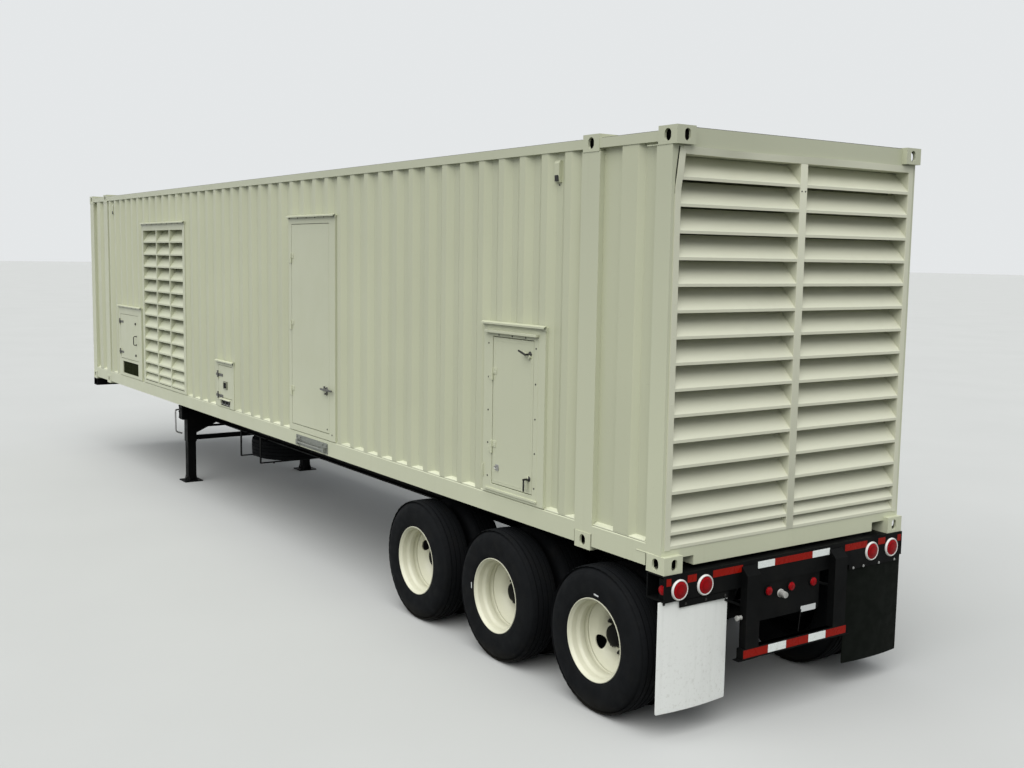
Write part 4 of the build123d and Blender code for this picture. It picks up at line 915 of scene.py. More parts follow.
class GENSET_OT_rear_lights(bpy.types.Operator):
    """Tail lamps, marker lamps and marking tape on the bolster and bumper"""

    bl_idname = "genset.rear_lights"
    bl_label = "Rear lights"

    def execute(self, context):
        face, lamp_z = BOLSTER_FACE, 1.023
        ring = lathe(
            [
                (0.05, 0.0), (0.0715, 0.0), (0.072, 0.004), (0.07, 0.01), (0.066, 0.014), (0.0625, 0.014),
                (0.0595, 0.011), (0.05, 0.01),
            ],
            48, wrap=True,
        )
        tail_dome = lathe(
            [
                (0.0598, 0.002), (0.0598, 0.01), (0.057, 0.014), (0.047, 0.0175), (0.03, 0.0205),
                (0.014, 0.0218), (0.001, 0.022),
            ],
            48,
        )
        spots = [(face, y, lamp_z) for y in (-1.09, -0.86, 0.86, 1.09)]
        put("tail_lamp_grommets", each(ring, spots, X), "white_grommet")
        put("tail_lamp_lenses", each(tail_dome, spots, X), "red_lens", replaces=("rear_lamps",))
        small_ring = lathe(
            [(0.028, 0.0), (0.0385, 0.0), (0.0385, 0.005), (0.036, 0.009), (0.0315, 0.009), (0.028, 0.005)],
            wrap=True,
        )
        small_dome = lathe([(0.0315, 0.0), (0.0315, 0.01), (0.028, 0.0155), (0.017, 0.0195), (0.001, 0.021)])
        panel = face - 0.014
        markers = [(panel, y, 0.88) for y in (-0.23, 0.0, 0.23)]
        put("marker_lamp_grommets", each(small_ring, markers, X), "fitting_black")
        put("marker_lamp_lenses", each(small_dome, markers, X), "red_lens")
        red = [
            (-0.787, -0.506), (-0.189, 0.202), (0.557, 0.807), (-1.019, -0.937), (0.937, 1.019),
            (-1.205, -1.164), (1.164, 1.205),
        ]
        white = [(-0.357, -0.189), (0.202, 0.388)]
        low, high = corners_of("rear_bumper")
        edges = np.linspace(-0.532, 0.532, 6) + np.array([0, 0.03, 0.0, 0.02, -0.01, 0])
        spans = list(zip(edges[:-1], edges[1:]))
        band, bar = (1.085, 0.05, face), (low[2] + 0.041, 0.058, high[0] - 0.001)
        for name, ends, place, finish, slot in (
            ("red_marking_tape", red, band, "red_tape", "lamp_lens"),
            ("white_marking_tape", white, band, "white_tape", "flap_white"),
            ("bumper_red_tape", spans[::2], bar, "red_tape", "lamp_lens"),
            ("bumper_white_tape", spans[1::2], bar, "white_tape", "flap_white"),
        ):
            put(name, [strip(a, b, *place) for a, b in ends], finish)
        socket = turned(
            [(0.03, 0.0), (0.03, 0.006), (0.0235, 0.01), (0.0235, 0.058), (0.021, 0.064)], core=0.001,
        )
        put(
            "lamp_panel_socket", placed(socket, (panel, -0.105, 0.846), X - 0.18 * Y),
            "grey_socket",
        )
        put(
            "bare_panel_label",
            box_between((panel, 0.115, 0.668), (panel + 0.001, 0.275, 0.712), 0.0002, 0.003),
            "bare_label",
        )
        shelf = [
            box_between((face + 0.001, y0, low[2] + z0), (high[0] - set_in, y1, low[2] + z1))
            for y0, y1, z0, z1, set_in in (
                (-0.385, 0.385, 0.064, 0.076, 0.012),
                (-0.575, -0.385, -0.004, 0.003, 0.001),
                (0.385, 0.575, -0.004, 0.003, 0.001),
            )
        ]
        paths = (
            [(face - 0.03, -0.64, 0.88), (face - 0.012, -0.55, 0.842), (face + 0.006, -0.47, 0.808)],
            [(face - 0.06, 0.26, 0.872), (face - 0.03, 0.36, 0.842), (face + 0.004, 0.45, 0.812)],
        )
        put("bumper_shelf", shelf, "chassis_enamel")
        put("bumper_braces", [tube(path, 0.009) for path in paths], "chassis_enamel")
        valve = lathe(
            [
                (0.001, 0.0), (0.016, 0.0), (0.016, 0.01), (0.0115, 0.014), (0.0115, 0.03), (0.019, 0.033),
                (0.019, 0.045), (0.001, 0.048),
            ],
            20,
        )
        put("air_drain_valve", placed(valve, (face + 0.012, -0.516, 0.742), -Y), "grey_socket")
        wire = bent(
            [(panel + 0.004, 0.115, 0.69), (panel + 0.012, 0.1, 0.66), (panel + 0.02, 0.075, 0.54)], 0.03,
        )
        put("lamp_wire", tube(wire, 0.0035, 8), "seal_rubber")
        wider = [np.diag([1.05, 1.05, 1.0])]
        side_ring, side_dome = (copies(one, [(0, 0, 0)], wider) for one in (small_ring, small_dome))
        y, z = FACE - 0.028, lamp_z + 0.002
        ends = [(np.array([face - 0.045, sign * y, z]), Y * sign) for sign in SIDES.values()]
        put(
            "side_marker_grommets", [placed(side_ring, p, d) for p, d in ends],
            "fitting_black",
        )
        put("side_marker_lenses", [placed(side_dome, p, d) for p, d in ends], "red_lens")
        plates = [
            box_between(p + (-0.04, -0.002, -0.075), p + (0.04, 0.002, 0.075), 0.001, 0.004) for p, d in ends
        ]
        put("side_marker_plates", plates, "chassis_enamel")
        return {"FINISHED"}


class GENSET_OT_mud_flaps(bpy.types.Operator):
    """Bowed mud flaps with their hanging angles and bolts"""

    bl_idname = "genset.mud_flaps"
    bl_label = "Mud flaps"

    def execute(self, context):
        low, high = corners_of("mud_flaps")
        inner, outer = 0.612, high[1]
        face, crown = BOLSTER_FACE - 0.03, high[0]
        plate = 6.8335  # rear face of the hanging angles
        bolts = {"near": (-1.03, -0.846, -0.667), "far": (0.66, 0.776, 0.954, 1.139)}
        finishes = {"near": ("white_flap", "dark_hardware"), "far": ("black_flap", "steel_hardware")}
        # each flap's plan is a parabola, its lower corners are eased, and its back lies a sheet behind
        t = np.linspace(0, 1, 17)
        bow = face + (crown - face) * 4 * t * (1 - t)
        z = np.concatenate([[low[2], low[2] + 0.004], np.linspace(low[2] + 0.03, high[2], 12)])
        narrow = np.concatenate([[0.006, 0.0015], np.zeros(12)])
        for side, sign in SIDES.items():
            flap_finish, bolt_finish = finishes[side]
            across = sign * (inner + (outer - inner) * t)
            y = across[None] - sign * narrow[:, None] * (2 * t[None] - 1)
            front = np.stack(np.broadcast_arrays(bow - 0.0015, y, z[:, None]), -1)
            back = front - np.array([0.0062, 0, 0])
            rings = np.concatenate([front, back[:, ::-1]], axis=1)
            replaces = ("mud_flaps",) if side == "near" else ()
            put(f"{side}_mud_flap", shell(rings), flap_finish, replaces=replaces)
            if side == "near":
                angle = [
                    box_between((plate - 0.006, -1.082, 0.9), (plate, -0.633, 0.952), 0.001, 0.003),
                    box_between((6.8, -1.082, 0.944), (plate, -0.633, 0.95)),
                ]
            else:
                angle = [box_between((plate - 0.006, 0.614, 0.912), (plate, 1.19, 0.952), 0.001, 0.003)]
            put(f"{side}_flap_angle", angle, "chassis_enamel")
            spots = [(plate, y, 0.921) for y in bolts[side]]
            put(f"{side}_flap_bolts", each(hex_head(0.015, 0.006), spots, X), bolt_finish)
        put(
            "near_flap_corner_bolt", placed(hex_head(0.016, 0.006), (6.8075, -1.2, 0.936), X),
            "dark_hardware",
        )
        return {"FINISHED"}


class GENSET_OT_louvre_frame(bpy.types.Operator):
    """Rear louvre frame, its near flange bent in at the top and its head flange buckled"""

    bl_idname = "genset.louvre_frame"
    bl_label = "Rear louvre frame"

    def execute(self, context):
        sizes = context.scene.genset_fittings
        low, high = corners_of("rear_louvre_frame")
        front, sheet = high[0], 0.006
        back, face = low[0], front - sheet
        edge, flange, border = 1.14, high[1], 0.007  # the opening's edge, the flange's, a board's width
        head = high[2] - 0.041
        sides = [
            (-edge - border, low[2], -edge, head),
            (edge, low[2], edge + border, head),
            (-edge, low[2], edge, low[2] + border),
            (-edge, head - border, edge, head),
        ]
        boards = [box_between((back, y0, z0), (face, y1, z1), 0.0005, 0.001) for y0, z0, y1, z1 in sides]
        boards += [
            box_between((back, -0.035, low[2] + border), (front, 0.035, head - border), 0.001, 0.004),
            box_between((face, edge, low[2]), (front, flange, high[2])),
        ]
        # near flange: upright, then leaning towards the opening over its top part
        z = np.concatenate([[low[2]], np.linspace(high[2] - 0.3, high[2], 16)])
        bent_part = 0.27
        lean = np.clip((z - high[2] + bent_part) / bent_part, 0, 1)
        shift = sizes.dent * lean**1.3
        lift = 0.007 * np.sin(np.pi * lean) + 0.0015 * (lean > 0)
        corners = [(face, -flange), (front, -flange), (front, -edge), (face, -edge)]
        shares = (1, 1, 1.06, 1.06)
        rows = [np.column_stack([cx + lift, cy + shift * k, z]) for (cx, cy), k in zip(corners, shares)]
        boards.append(shell(np.stack(rows, 1)))
        # head flange: its upper edge curls out and buckles a little
        y = np.linspace(-edge + 0.004, edge, 60)
        curl = 0.004 + 0.007 * np.exp(-(((y + 0.68) / 0.16) ** 2)) + 0.003 * np.sin(5.1 * y + 1.0)
        sag = 0.003 * np.sin(3.4 * y) - 0.004 * np.exp(-(((y + 0.7) / 0.07) ** 2))
        section = [
            (face, head - border, 0, 0), (front, head - border, 0, 0.4), (front, high[2], 1, 1),
            (face, high[2], 1, 1),
        ]
        rows = [np.column_stack([cx + curl * c, y, cz + sag * g]) for cx, cz, c, g in section]
        boards.append(shell(np.stack(rows, 1)))
        put(
            "buckled_louvre_frame", boards, "lit_louvre_enamel", replaces=("rear_louvre_frame",),
            sharp=25,
        )
        # a dark strip on the post's face beside the bent flange: painted shade for the gap where the flange
        # has come away from the post
        gap = np.where(lean > 0.12, 0.005 * np.clip(lean * 3, 0, 1), 0.0004)
        rows = [
            np.column_stack([np.full(len(z), face + dx), -flange + shift - gap * w, z])[1:]
            for dx, w in ((0, 1), (0.0022, 1), (0.0022, -0.3), (0, -0.3))
        ]
        put("flange_gap_shade_strip", shell(np.stack(rows, 1)), "seal_rubber")
        spots = [(front, y, DECK + 2.532) for y in (-0.018, 0.018)]
        put("mullion_screws", each(dome(0.006), spots, X), "dark_hardware")
        rows = np.linspace(low[2] + 0.1, high[2] - 0.35, 11)
        spots = [(front, sign * (edge + 0.026), r) for sign in (-1, 1) for r in rows]
        put(
            "louvre_flange_rivets", each(dome(sizes.rivet * 0.8, 0.4), spots, X),
            "lit_louvre_enamel",
        )
        return {"FINISHED"}


# ---------------------------------------------------------------- doors and their frames


def hinge_half(height, way):
    """A knuckle along Z from 0 with its flag on the wall face along way times X, the wall in +Y."""
    flag, radius, back, thick = 0.055, 0.0097, 0.009, 0.0046
    knuckle = turned(
        [(radius - 0.0012, 0), (radius, 0.0012), (radius, height - 0.0012), (radius - 0.0012, height)], 20,
    )
    plate = box_between(
        (0, back - thick, 0.0005), (way * (flag + 0.0006), back - 0.0002, height - 0.0005), 0.0006, 0.004,
    )
    screws = [
        placed(dome(0.0042, 0.5), (way * x, back - thick, height * f), -Y)
        for x, f in ((0.024, 0.3), (0.044, 0.3), (0.024, 0.7), (0.044, 0.7))
    ]
    return joined([knuckle, plate, *screws])


def strap_hinge():
    """A strap hinge about Z, wall in +Y: outer knuckles on their plate, and strap with middle knuckle."""
    r, back, thick, half = 0.0094, 0.009, 0.005, 0.0165

    def knuckle(low, high):
        return turned([(r, low), (r, high)], 20)

    plate = box_between((-0.072, back - thick, -half), (-0.004, back - 0.0003, half), 0.0006, 0.004)
    strap = box_between((0.004, back - thick, -half), (0.15, back - 0.0003, half), 0.0006, 0.004)
    neck = box_between((-0.006, -0.004, -0.0115), (0.006, back - 0.001, 0.0115), 0.0006)
    heads = [
        placed(dome(0.0055, 0.6), (x, back - thick, 0), -Y)
        for x in (-0.055, -0.025, 0.035, 0.085, 0.135)
    ]
    fixed = [knuckle(0.0125, 0.05), knuckle(-0.034, -0.0125), plate, *heads[:2]]
    return joined(fixed), joined([knuckle(-0.012, 0.012), strap, neck, *heads[2:]])


HINGES = {
    # body that swings: its leaf's left edge and the hinges' heights
    "near_door": (0.98, (0.6083, 1.305, 2.0017)),
    "access_door": (4.822, (0.56, 1.14)),
    "cable_panel_door": (-5.3, (0.543, 0.996)),
    "fuel_panel_door": (-1.205, (0.32, 0.575)),
}


class GENSET_OT_hinges(bpy.types.Operator):
    """Lift-off hinges on the doors and strap hinges on the panels, each in a fixed and a swinging part"""

    bl_idname = "genset.hinges"
    bl_label = "Hinges"

    def execute(self, context):
        for body, (x, heights) in HINGES.items():
            spots = [on_wall(x - 0.003, h, 0.009) for h in heights]
            if "panel" in body:
                finish = "worn_steel"
                lower, upper = (copies(part, spots) for part in strap_hinge())
            else:
                finish = "lit_enclosure_enamel"
                lower = copies(hinge_half(0.0497, -1), [p - (0, 0, 0.05) for p in spots])
                upper = copies(hinge_half(0.05, 1), [p + (0, 0, 0.001) for p in spots])
            put(f"{body}_lower_hinges", lower, finish)
            put(f"{body}_upper_hinges", upper, finish, body)
        return {"FINISHED"}


def latch_shell(place, lean):
    """A swinging latch lever on its boss, leaning from the upright by some degrees."""
    out = -Y
    a = np.radians(lean)
    d = np.array([np.sin(a), 0, np.cos(a)])
    boss = turned(
        [
            (0.0215, 0), (0.0215, 0.003), (0.0195, 0.006), (0.012, 0.012), (0.0078, 0.016), (0.0078, 0.052),
            (0.0065, 0.056),
        ],
        28,
    )
    lever = slab(rounded(0.0145, 0.1, 0.0068, 5), 0.0085, 0.0016)
    return [placed(boss, place, out), placed(lever, place + out * 0.045 + d * 0.043, out, np.cross(d, out))]


def lever_set(place, sign):
    """A bowed bar handle on a round rose, reaching over the leaf's edge, with its key cylinder below."""
    out = sign * Y
    rose = turned(
        [(0.0262, 0), (0.0262, 0.005), (0.0235, 0.0086), (0.0125, 0.0092), (0.0115, 0.012), (0.0115, 0.03)]
    )
    x = np.concatenate([[0.1602, 0.158, 0.152], np.linspace(0.14, -0.085, 16), [-0.093, -0.099, -0.1005]])
    radius = np.concatenate([[0.0012, 0.007, 0.0098], np.full(16, 0.0112), [0.0098, 0.007, 0.0012]])
    bow = 0.036 - 0.55 * (x - 0.03) ** 2
    bar = tube(place + np.outer(bow, out) + np.outer(x, X), radius, 16)
    knob = turned([(0.0135, 0), (0.0135, 0.006), (0.0105, 0.01), (0.0105, 0.03)], 24)
    key = turned([(0.0175, 0), (0.0175, 0.006), (0.0115, 0.009), (0.0115, 0.026), (0.009, 0.029)], 24)
    up = placed(knob, place + out * 0.03 + Z * 0.006, Z)
    return [placed(rose, place, out), bar, up, placed(key, place - Z * 0.04, out)]


class GENSET_OT_door_hardware(bpy.types.Operator):
    """Latches, handles, rivets and the flange round the access door"""

    bl_idname = "genset.door_hardware"
    bl_label = "Door hardware"

    def execute(self, context):
        sizes = context.scene.genset_fittings
        put(
            "near_lever_set", lever_set(on_wall(1.825, 0.7), -1), "worn_steel", "near_door",
            replaces=("near_door_handle",),
        )
        put("far_lever_set", lever_set(on_wall(1.825, 0.7, 0, 1), 1), "worn_steel")
        latches = latch_shell(on_wall(5.318, 1.33), -74) + latch_shell(on_wall(5.326, 0.384), 180)
        put("access_latches", latches, "dark_hardware", "access_door")
        # access door: flange, cap, sill, rivets, hasp and an open holder beside it
        flange = picture_frame(((4.745, 5.42), (0.222, 1.46)), ((4.8145, 5.3695), (0.2625, 1.4375)), 0.0025)
        cap = wall_block((4.735, 1.464), (5.43, 1.484, 0.034))
        sill = wall_block((4.735, 0.213), (5.43, 0.231, 0.012))
        put("access_flange", [flange, cap, sill], "lit_enclosure_enamel")
        heights = (0.322, 0.588, 0.848, 1.111, 1.378)
        spots = [on_wall(x, h, 0.0025) for x in (4.76, 5.396) for h in heights]
        spots += [on_wall(x, 1.449, 0.0025) for x in (4.9, 5.08, 5.26)]
        put(
            "access_rivets", each(dome(sizes.rivet * 1.25, 0.6), spots, -Y),
            "dark_hardware",
        )
        hasp = [
            wall_block((4.872, 0.38), (4.918, 0.428, 0.004), 0.0008, 0.004),
            staple((4.884, 0.412), (4.906, 0.396), 0.002, 0.026, 0.012, 0.004),
        ]
        put("access_hasp", hasp, "steel_hardware", "access_door")
        holder = [
            wall_block((4.696, 0.3), (4.704, 0.42, 0.006), 0.001, 0.002),
            staple((4.7, 0.405), (4.7, 0.315), 0.005, 0.016, 0.008, 0.0025, 8),
        ]
        put("access_door_keeper", holder, "lit_enclosure_enamel")
        crease = picture_frame(((4.845, 5.339), (0.293, 1.407)), ((4.851, 5.333), (0.299, 1.401)), 0.00125)
        put("access_door_crease", crease, "lit_enclosure_enamel", "access_door")
        # cable panel
        cup = turned([(0.0195, 0), (0.0195, 0.003), (0.0166, 0.005), (0.0166, 0.0112), (0.0145, 0.0126)], 28)
        put(
            "cable_panel_locks", each(cup, [on_wall(-4.55, h) for h in (0.993, 0.532)], -Y), "dark_hardware",
            "cable_panel_door",
        )
        foot = turned([(0.013, 0), (0.013, 0.0025), (0.0085, 0.005)], 20)
        ends = [(-4.52, h) for h in (0.69, 0.815)]
        pull = staple(*ends, 0, 0.042, 0.012, 0.0066, 12)
        put(
            "cable_panel_pull", [pull] + [placed(foot, on_wall(*at), -Y) for at in ends], "dark_hardware",
            "cable_panel_door",
        )
        # fuel panel: paddle in its bezel
        bezel = picture_frame(
            ((-1.0312, -0.9158), (0.4118, 0.5062)), ((-1.018, -0.929), (0.425, 0.493)), 0.0128,
        )
        paddle = wall_block((-1.018, 0.425, 0.0105), (-0.929, 0.493, 0.0122), 0.001, 0.004)
        lip = wall_block((-1.01, 0.43, 0.011), (-0.937, 0.446, 0.0155), 0.0015)
        put("fuel_panel_paddle", [bezel, paddle, lip], "fitting_black", "fuel_panel_door")
        return {"FINISHED"}


# where the pale fillets run along each bottom rail, between its castings and the openings, from the middle
RAIL_SPANS = {
    "near": (
        (-6.64, -6.1), (6.1, 6.64), (-5.88, -5.4), (-4.26, -4.19), (-2.37, -1.27),
        (-0.7, 0.9), (2.02, 4.68), (5.52, 5.88),
    ),
    "far": ((-6.64, -6.1), (6.1, 6.64), (-5.88, -4.19), (-2.37, 0.9), (2.02, 5.88)),
}


class GENSET_OT_wall_fittings(bpy.types.Operator):
    """Guard mesh, fuel port, lamp faces, rivets, step plate bolts, dark roof-edge strips, rail fillets in a
    paler enamel as a painted highlight, weld beads, and black plates inside the castings as painted shade
    """

    bl_idname = "genset.wall_fittings"
    bl_label = "Wall fittings"

    def execute(self, context):
        sizes = context.scene.genset_fittings
        # guard: a close mesh of flat bars across the cable opening
        low, high = corners_of("cable_guard")
        mid = (low + high) / 2
        bar_x = np.linspace(low[0] + 0.0015, high[0] - 0.0015, 76)
        bar_z = np.linspace(low[2] + 0.0015, high[2] - 0.0015, 19)
        long, _, tall = high - mid
        upright = box_between((-0.0012, -0.0022, -tall), (0.0012, 0.0022, tall), 0.0003, 0.0005)
        level = box_between((-long, -0.0018, -0.0012), (long, 0.0018, 0.0012), 0.0003, 0.0005)
        mesh = [
            copies(upright, [(x, mid[1], mid[2]) for x in bar_x]),
            copies(level, [(mid[0], mid[1], z) for z in bar_z]),
        ]
        put("cable_guard_mesh", mesh, "guard_coating", replaces=("cable_guard",))
        # fuel port: a plate behind the opening with three capped unions and a rail, under a hood
        plate = wall_block((-1.1415, 0.2045, -0.02), (-0.8355, 0.2755, -0.016), 0.0008)
        put("fuel_port_plate", plate, "dark_hardware")
        cap = turned([(0.022, 0), (0.022, 0.006), (0.019, 0.008), (0.019, 0.013), (0.016, 0.0155)], 28)
        spots = [on_wall(x, 0.236, -0.016) for x in (-1.085, -0.99, -0.89)]
        put("fuel_port_caps", each(cap, spots, -Y), "dark_hardware")
        rail = tube([on_wall(x, 0.222, -0.008) for x in (-1.139, -0.99, -0.838)], 0.0055, 12)
        put("fuel_port_rail", rail, "grey_socket")
        hood = wall_block((-1.16, 0.281), (-0.82, 0.289, 0.024))
        put("fuel_port_hood", hood, "lit_louvre_enamel")
        # wall lamps: a dark lens low on each housing, and a screw under it
        lenses, screws = [], []
        for sign in SIDES.values():
            for x in (-5.655, 5.582):
                low, high = (x - 0.022, 2.598, -0.018), (x + 0.022, 2.642, -0.0142)
                lenses.append(wall_block(low, high, 0.0012, 0.004, sign))
                screws.append(placed(dome(0.007, 0.6), on_wall(x, 2.572, -0.046, sign), Y * sign))
        put("wall_lamp_lenses", lenses, "dark_hardware")
        put("wall_lamp_screws", screws, "dark_hardware")
        # rivets under the rain strips of the intake, the door and the two panels
        strips = (
            (-4.15, -2.41, 2.43, 9),
            (0.94, 1.98, 2.43, 6),
            (-1.235, -0.735, 0.745, 3),
            (-5.35, -4.31, 1.232, 6),
        )
        heads = []
        for x0, x1, z, count in strips:
            heads += [on_wall(x, z - 0.014, 0.004) for x in np.linspace(x0, x1, count)]
        put("rain_strip_rivets", each(dome(0.0075), heads, -Y), "dark_hardware")
        # a screw head low on the near door and one on its frame
        for name, x, z, body in (("leaf", 1.83, 0.297, "near_door"), ("frame", 1.938, 0.253, "frame")):
            screw = placed(dome(0.009, 0.5), on_wall(x, z), -Y)
            put(f"door_{name}_screw", screw, "dark_hardware", body)
        # step plate: bolts along its top edge
        low, high = corners_of("step_plate")
        bolt_xs = (low[0] + 0.02, low[0] + 0.11, high[0] - 0.11, high[0] - 0.02)
        spots = [(x, low[1] + 0.028, high[2] - 0.02) for x in bolt_xs]
        put("step_plate_bolts", each(hex_head(0.017, 0.009), spots, -Y), "galvanised_steel")
        # dark strips along the roof's edges and over the rear header
        high = corners_of("top_side_rails")[1]
        lines = []
        for y in (0.01 - high[1], high[1] - 0.01):
            for x0, x1 in ((-6.66, -6.1), (-5.88, 5.88), (6.1, 6.66)):
                lines.append(
                    ((MID_X + x0, y - 0.004, high[2] - 0.001), (MID_X + x1, y + 0.004, high[2] + 0.003))
                )
        rear = BOX_HIGH[0] - 0.042
        lines.append(((rear - 0.012, -1.05, TOP - 0.0065), (rear - 0.002, 1.05, TOP - 0.003)))
        put(
            "roof_edge_dark_strips", [box_between(*ends, 0.0008, 0.001) for ends in lines],
            "seal_rubber",
        )
        # sloping fillets in the flutes' feet on the bottom rails, in a paler copy of the enamel as a painted
        # highlight, and weld beads over the corner castings
        beads, fillets = [], []
        outer, slope = -0.0127, 0.5
        k = np.linspace(0, 1, 49)
        for side, sign in SIDES.items():
            for x0, x1 in RAIL_SPANS[side]:
                points, *faces = wall_block((x0, 0.184, -0.0485), (x1, 0.191, outer), 0.0008, 0.0008, sign)
                rise = slope * (FACE + outer - abs(points[:, 1]))
                fillets.append((points + np.outer(rise, Z), *faces))
            for x in (-6.665, 6.665):
                for z in (0.118, TOP - DECK - 0.118):
                    path = on_wall(0, z, -0.0045, sign) + np.outer(x + (k - 0.5) * 0.18, X)
                    beads.append(tube(path, sizes.bead * (1 + 0.22 * np.sin(k * 96)), 8))
        put("weld_beads", beads, "lit_enclosure_enamel")
        put("rail_highlight_fillets", fillets, "highlight_enamel")
        # black plates inside the hollow castings, on their walls that have no hole: painted shade, so that
        # the holes look dark
        shade_plates = []
        reach, tall, deep, skin, sheet = 0.0708, 0.0816, -0.1416, -0.0182, 0.002
        for sign in SIDES.values():
            for x, end in ((-6.769, -1), (-5.9925, 0), (5.9925, 0), (6.769, 1)):
                x0, x1 = x - reach, x + reach
                for low, is_bottom in ((0.0182, True), (TOP - DECK - 0.0182 - tall, False)):
                    high = low + tall
                    level = high - sheet if is_bottom else low
                    plates = [((x0, low, deep - 0.0002 - sheet), (x1, high, deep - 0.0002))]
                    plates.append(((x0, level, deep), (x1, level + sheet, skin)))
                    for wall, spot in ((-1, x0), (1, x1 - sheet)):
                        if wall != end:
                            plates.append(((spot, low, deep), (spot + sheet, high, skin)))
                    shade_plates += [wall_block(a, b, 0.0005, 0.0005, sign) for a, b in plates]
        put("casting_linings", shade_plates, "casting_shade_black")
        return {"FINISHED"}


# ---------------------------------------------------------------- suspension, landing gear and spare


class GENSET_OT_suspension(bpy.types.Operator):
    """U-bolts, hanger bolts, brake chambers, camshafts, slack adjusters and air lines"""

    bl_idname = "genset.suspension"
    bl_label = "Suspension"

    def execute(self, context):
        beam, seat = 0.44, AXLE_Z + 0.0815  # middle of a spring from the centre line, its foot
        top, foot = seat + 0.085, AXLE_Z - 0.075  # of the U-bolts
        chamber = turned(
            [
                (0.052, 0), (0.066, 0.008), (0.0715, 0.03), (0.0715, 0.062), (0.079, 0.064), (0.079, 0.076),
                (0.0715, 0.078), (0.0715, 0.13), (0.062, 0.15), (0.03, 0.158),
            ],
            40,
        )
        arm = slab(rounded(0.036, 0.15, 0.017, 6), 0.02, 0.002)
        cam = turned([(0.017, 0), (0.017, 0.415)], 20)
        u_bolts, plates, bolts, brakes, hoses, rods = ([] for _ in range(6))
        for x in WHEEL_X:
            for sign in (-1, 1):
                y = sign * beam
                legs = (y - 0.052, y + 0.052)
                for at in (x - 0.075, x + 0.075):
                    corners = [(at, legs[k], h) for k, h in zip((0, 0, 1, 1), (top, foot, foot, top))]
                    u_bolts.append(tube(bent(corners, 0.045, 8), 0.0095))
                    u_bolts += [placed(hex_head(0.03, 0.022), (at, leg, seat + 0.06)) for leg in legs]
                for half, z0, z1 in ((0.07, seat + 0.046, seat + 0.06), (0.062, foot - 0.013, foot + 0.001)):
                    plates.append(box_between((x - 0.1, y - half, z0), (x + 0.1, y + half, z1), 0.002, 0.01))
                for end in (x - 0.4, x + 0.4):
                    for face in (-1, 1):
                        spot = (end, y + face * 0.049, seat + 0.128)
                        bolts.append(placed(hex_head(0.03, 0.016), spot, Y * face))
                # brake chamber across the axle's rear, its rod, slack adjuster and camshaft
                cy, cz = sign * (beam - 0.15), AXLE_Z + 0.03
                brakes.append(placed(chamber, (x + 0.086, cy, cz), X))
                brakes += [placed(hex_head(0.014, 0.02), (x + 0.146, cy + s * 0.085, cz), X) for s in (-1, 1)]
                path = [(x + dx, cy, cz + dz) for dx, dz in ((0.02, 0.01), (0.06, 0.005), (0.09, 0.0))]
                rods.append(tube(path, 0.008))
                brakes.append(placed(arm, (x + 0.02, cy - 0.01, cz + 0.062), Y, X))
                brakes.append(placed(cam, (x + 0.02, cy - sign * 0.02, cz + 0.115), Y * sign))
                path = [
                    (0.2, cy, 0.07), (0.2, cy, 0.2), (0.16, cy - sign * 0.08, 0.3), (0.16, sign * 0.31, 0.42),
                ]
                hoses.append(tube(bent([(x + dx, at, cz + dz) for dx, at, dz in path], 0.08, 8), 0.008))
        for name, shells, finish in (
            ("u_bolts", u_bolts, "dark_hardware"),
            ("spring_plates", plates, "chassis_enamel"),
            ("hanger_bolts", bolts, "dark_hardware"),
            ("brake_chambers", brakes, "fitting_black"),
            ("brake_rods", rods, "steel_hardware"),
            ("brake_hoses", hoses, "seal_rubber"),
        ):
            put(name, shells, finish)
        return {"FINISHED"}


class GENSET_OT_landing_gear(bpy.types.Operator):
    """Gearbox, crank and shoe pins of the landing legs, and the spare's rim and clamps"""

    bl_idname = "genset.landing_gear"
    bl_label = "Landing gear"

    def execute(self, context):
        wheels = context.scene.genset_wheels
        x, top = middle_of("near_landing_leg")[0], DECK - 0.12
        box = [
            box_between((x - 0.075, -0.99, top - 0.14), (x + 0.075, -0.925, top + 0.07), 0.004, 0.012),
            box_between((x - 0.062, -1.0, top - 0.127), (x + 0.062, -0.99, top + 0.057), 0.002, 0.01),
        ]
        put("landing_gearbox", box, "chassis_enamel")
        heads = [(x + dx, -1.0, top + dz) for dx in (-0.05, 0.05) for dz in (-0.115, -0.035, 0.045)]
        put("gearbox_bolts", each(hex_head(0.016, 0.007), heads, -Y), "dark_hardware")
        path = [
            (0, -0.99, 0), (0, -1.06, 0), (0.02, -1.075, -0.02), (0.03, -1.075, -0.3), (0.03, -0.99, -0.33),
        ]
        crank = tube(bent([(x + dx, y, top + dz) for dx, y, dz in path], 0.03), 0.0105, 12)
        put("landing_crank", crank, "steel_hardware")
        pin = turned([(0.012, 0), (0.014, 0.003), (0.014, 0.152), (0.012, 0.155)], 18)
        for side, sign in SIDES.items():
            at = (x, sign * 0.86 - 0.0775, 0.05)
            put(f"{side}_shoe_pin", placed(pin, at, Y), "dark_hardware", f"{side}_leg")
        low, high = corners_of("spare_tyre")
        middle = (low + high) / 2
        rim = placed(lathe(rim_profile()[::-1], 96, wrap=True), middle, -Z)
        disc = placed(disc_shell(wheels.hand_hole, wheels.hand_slot), middle, -Z)
        put("spare_rim", [rim, disc], "wheel_enamel")
        spots = [(middle[0] + dx, dy, low[2] - 0.012) for dx in (-0.33, 0.33) for dy in (-0.4, 0.4)]
        put("cradle_bolts", each(hex_head(0.024, 0.014), spots, -Z), "dark_hardware")
        return {"FINISHED"}


# ---------------------------------------------------------------- stage


def plainly_seen(tree):
    """1 for rays that show a surface or the sky to the camera, straight, mirrored or through glass."""
    path = node_in(tree, "ShaderNodeLightPath")
    value = path.outputs["Is Camera Ray"]
    for name in ("Is Glossy Ray", "Is Transmission Ray"):
        most = node_in(tree, "ShaderNodeMath", {0: value, 1: path.outputs[name]}, operation="MAXIMUM")
        value = most.outputs[0]
    return value


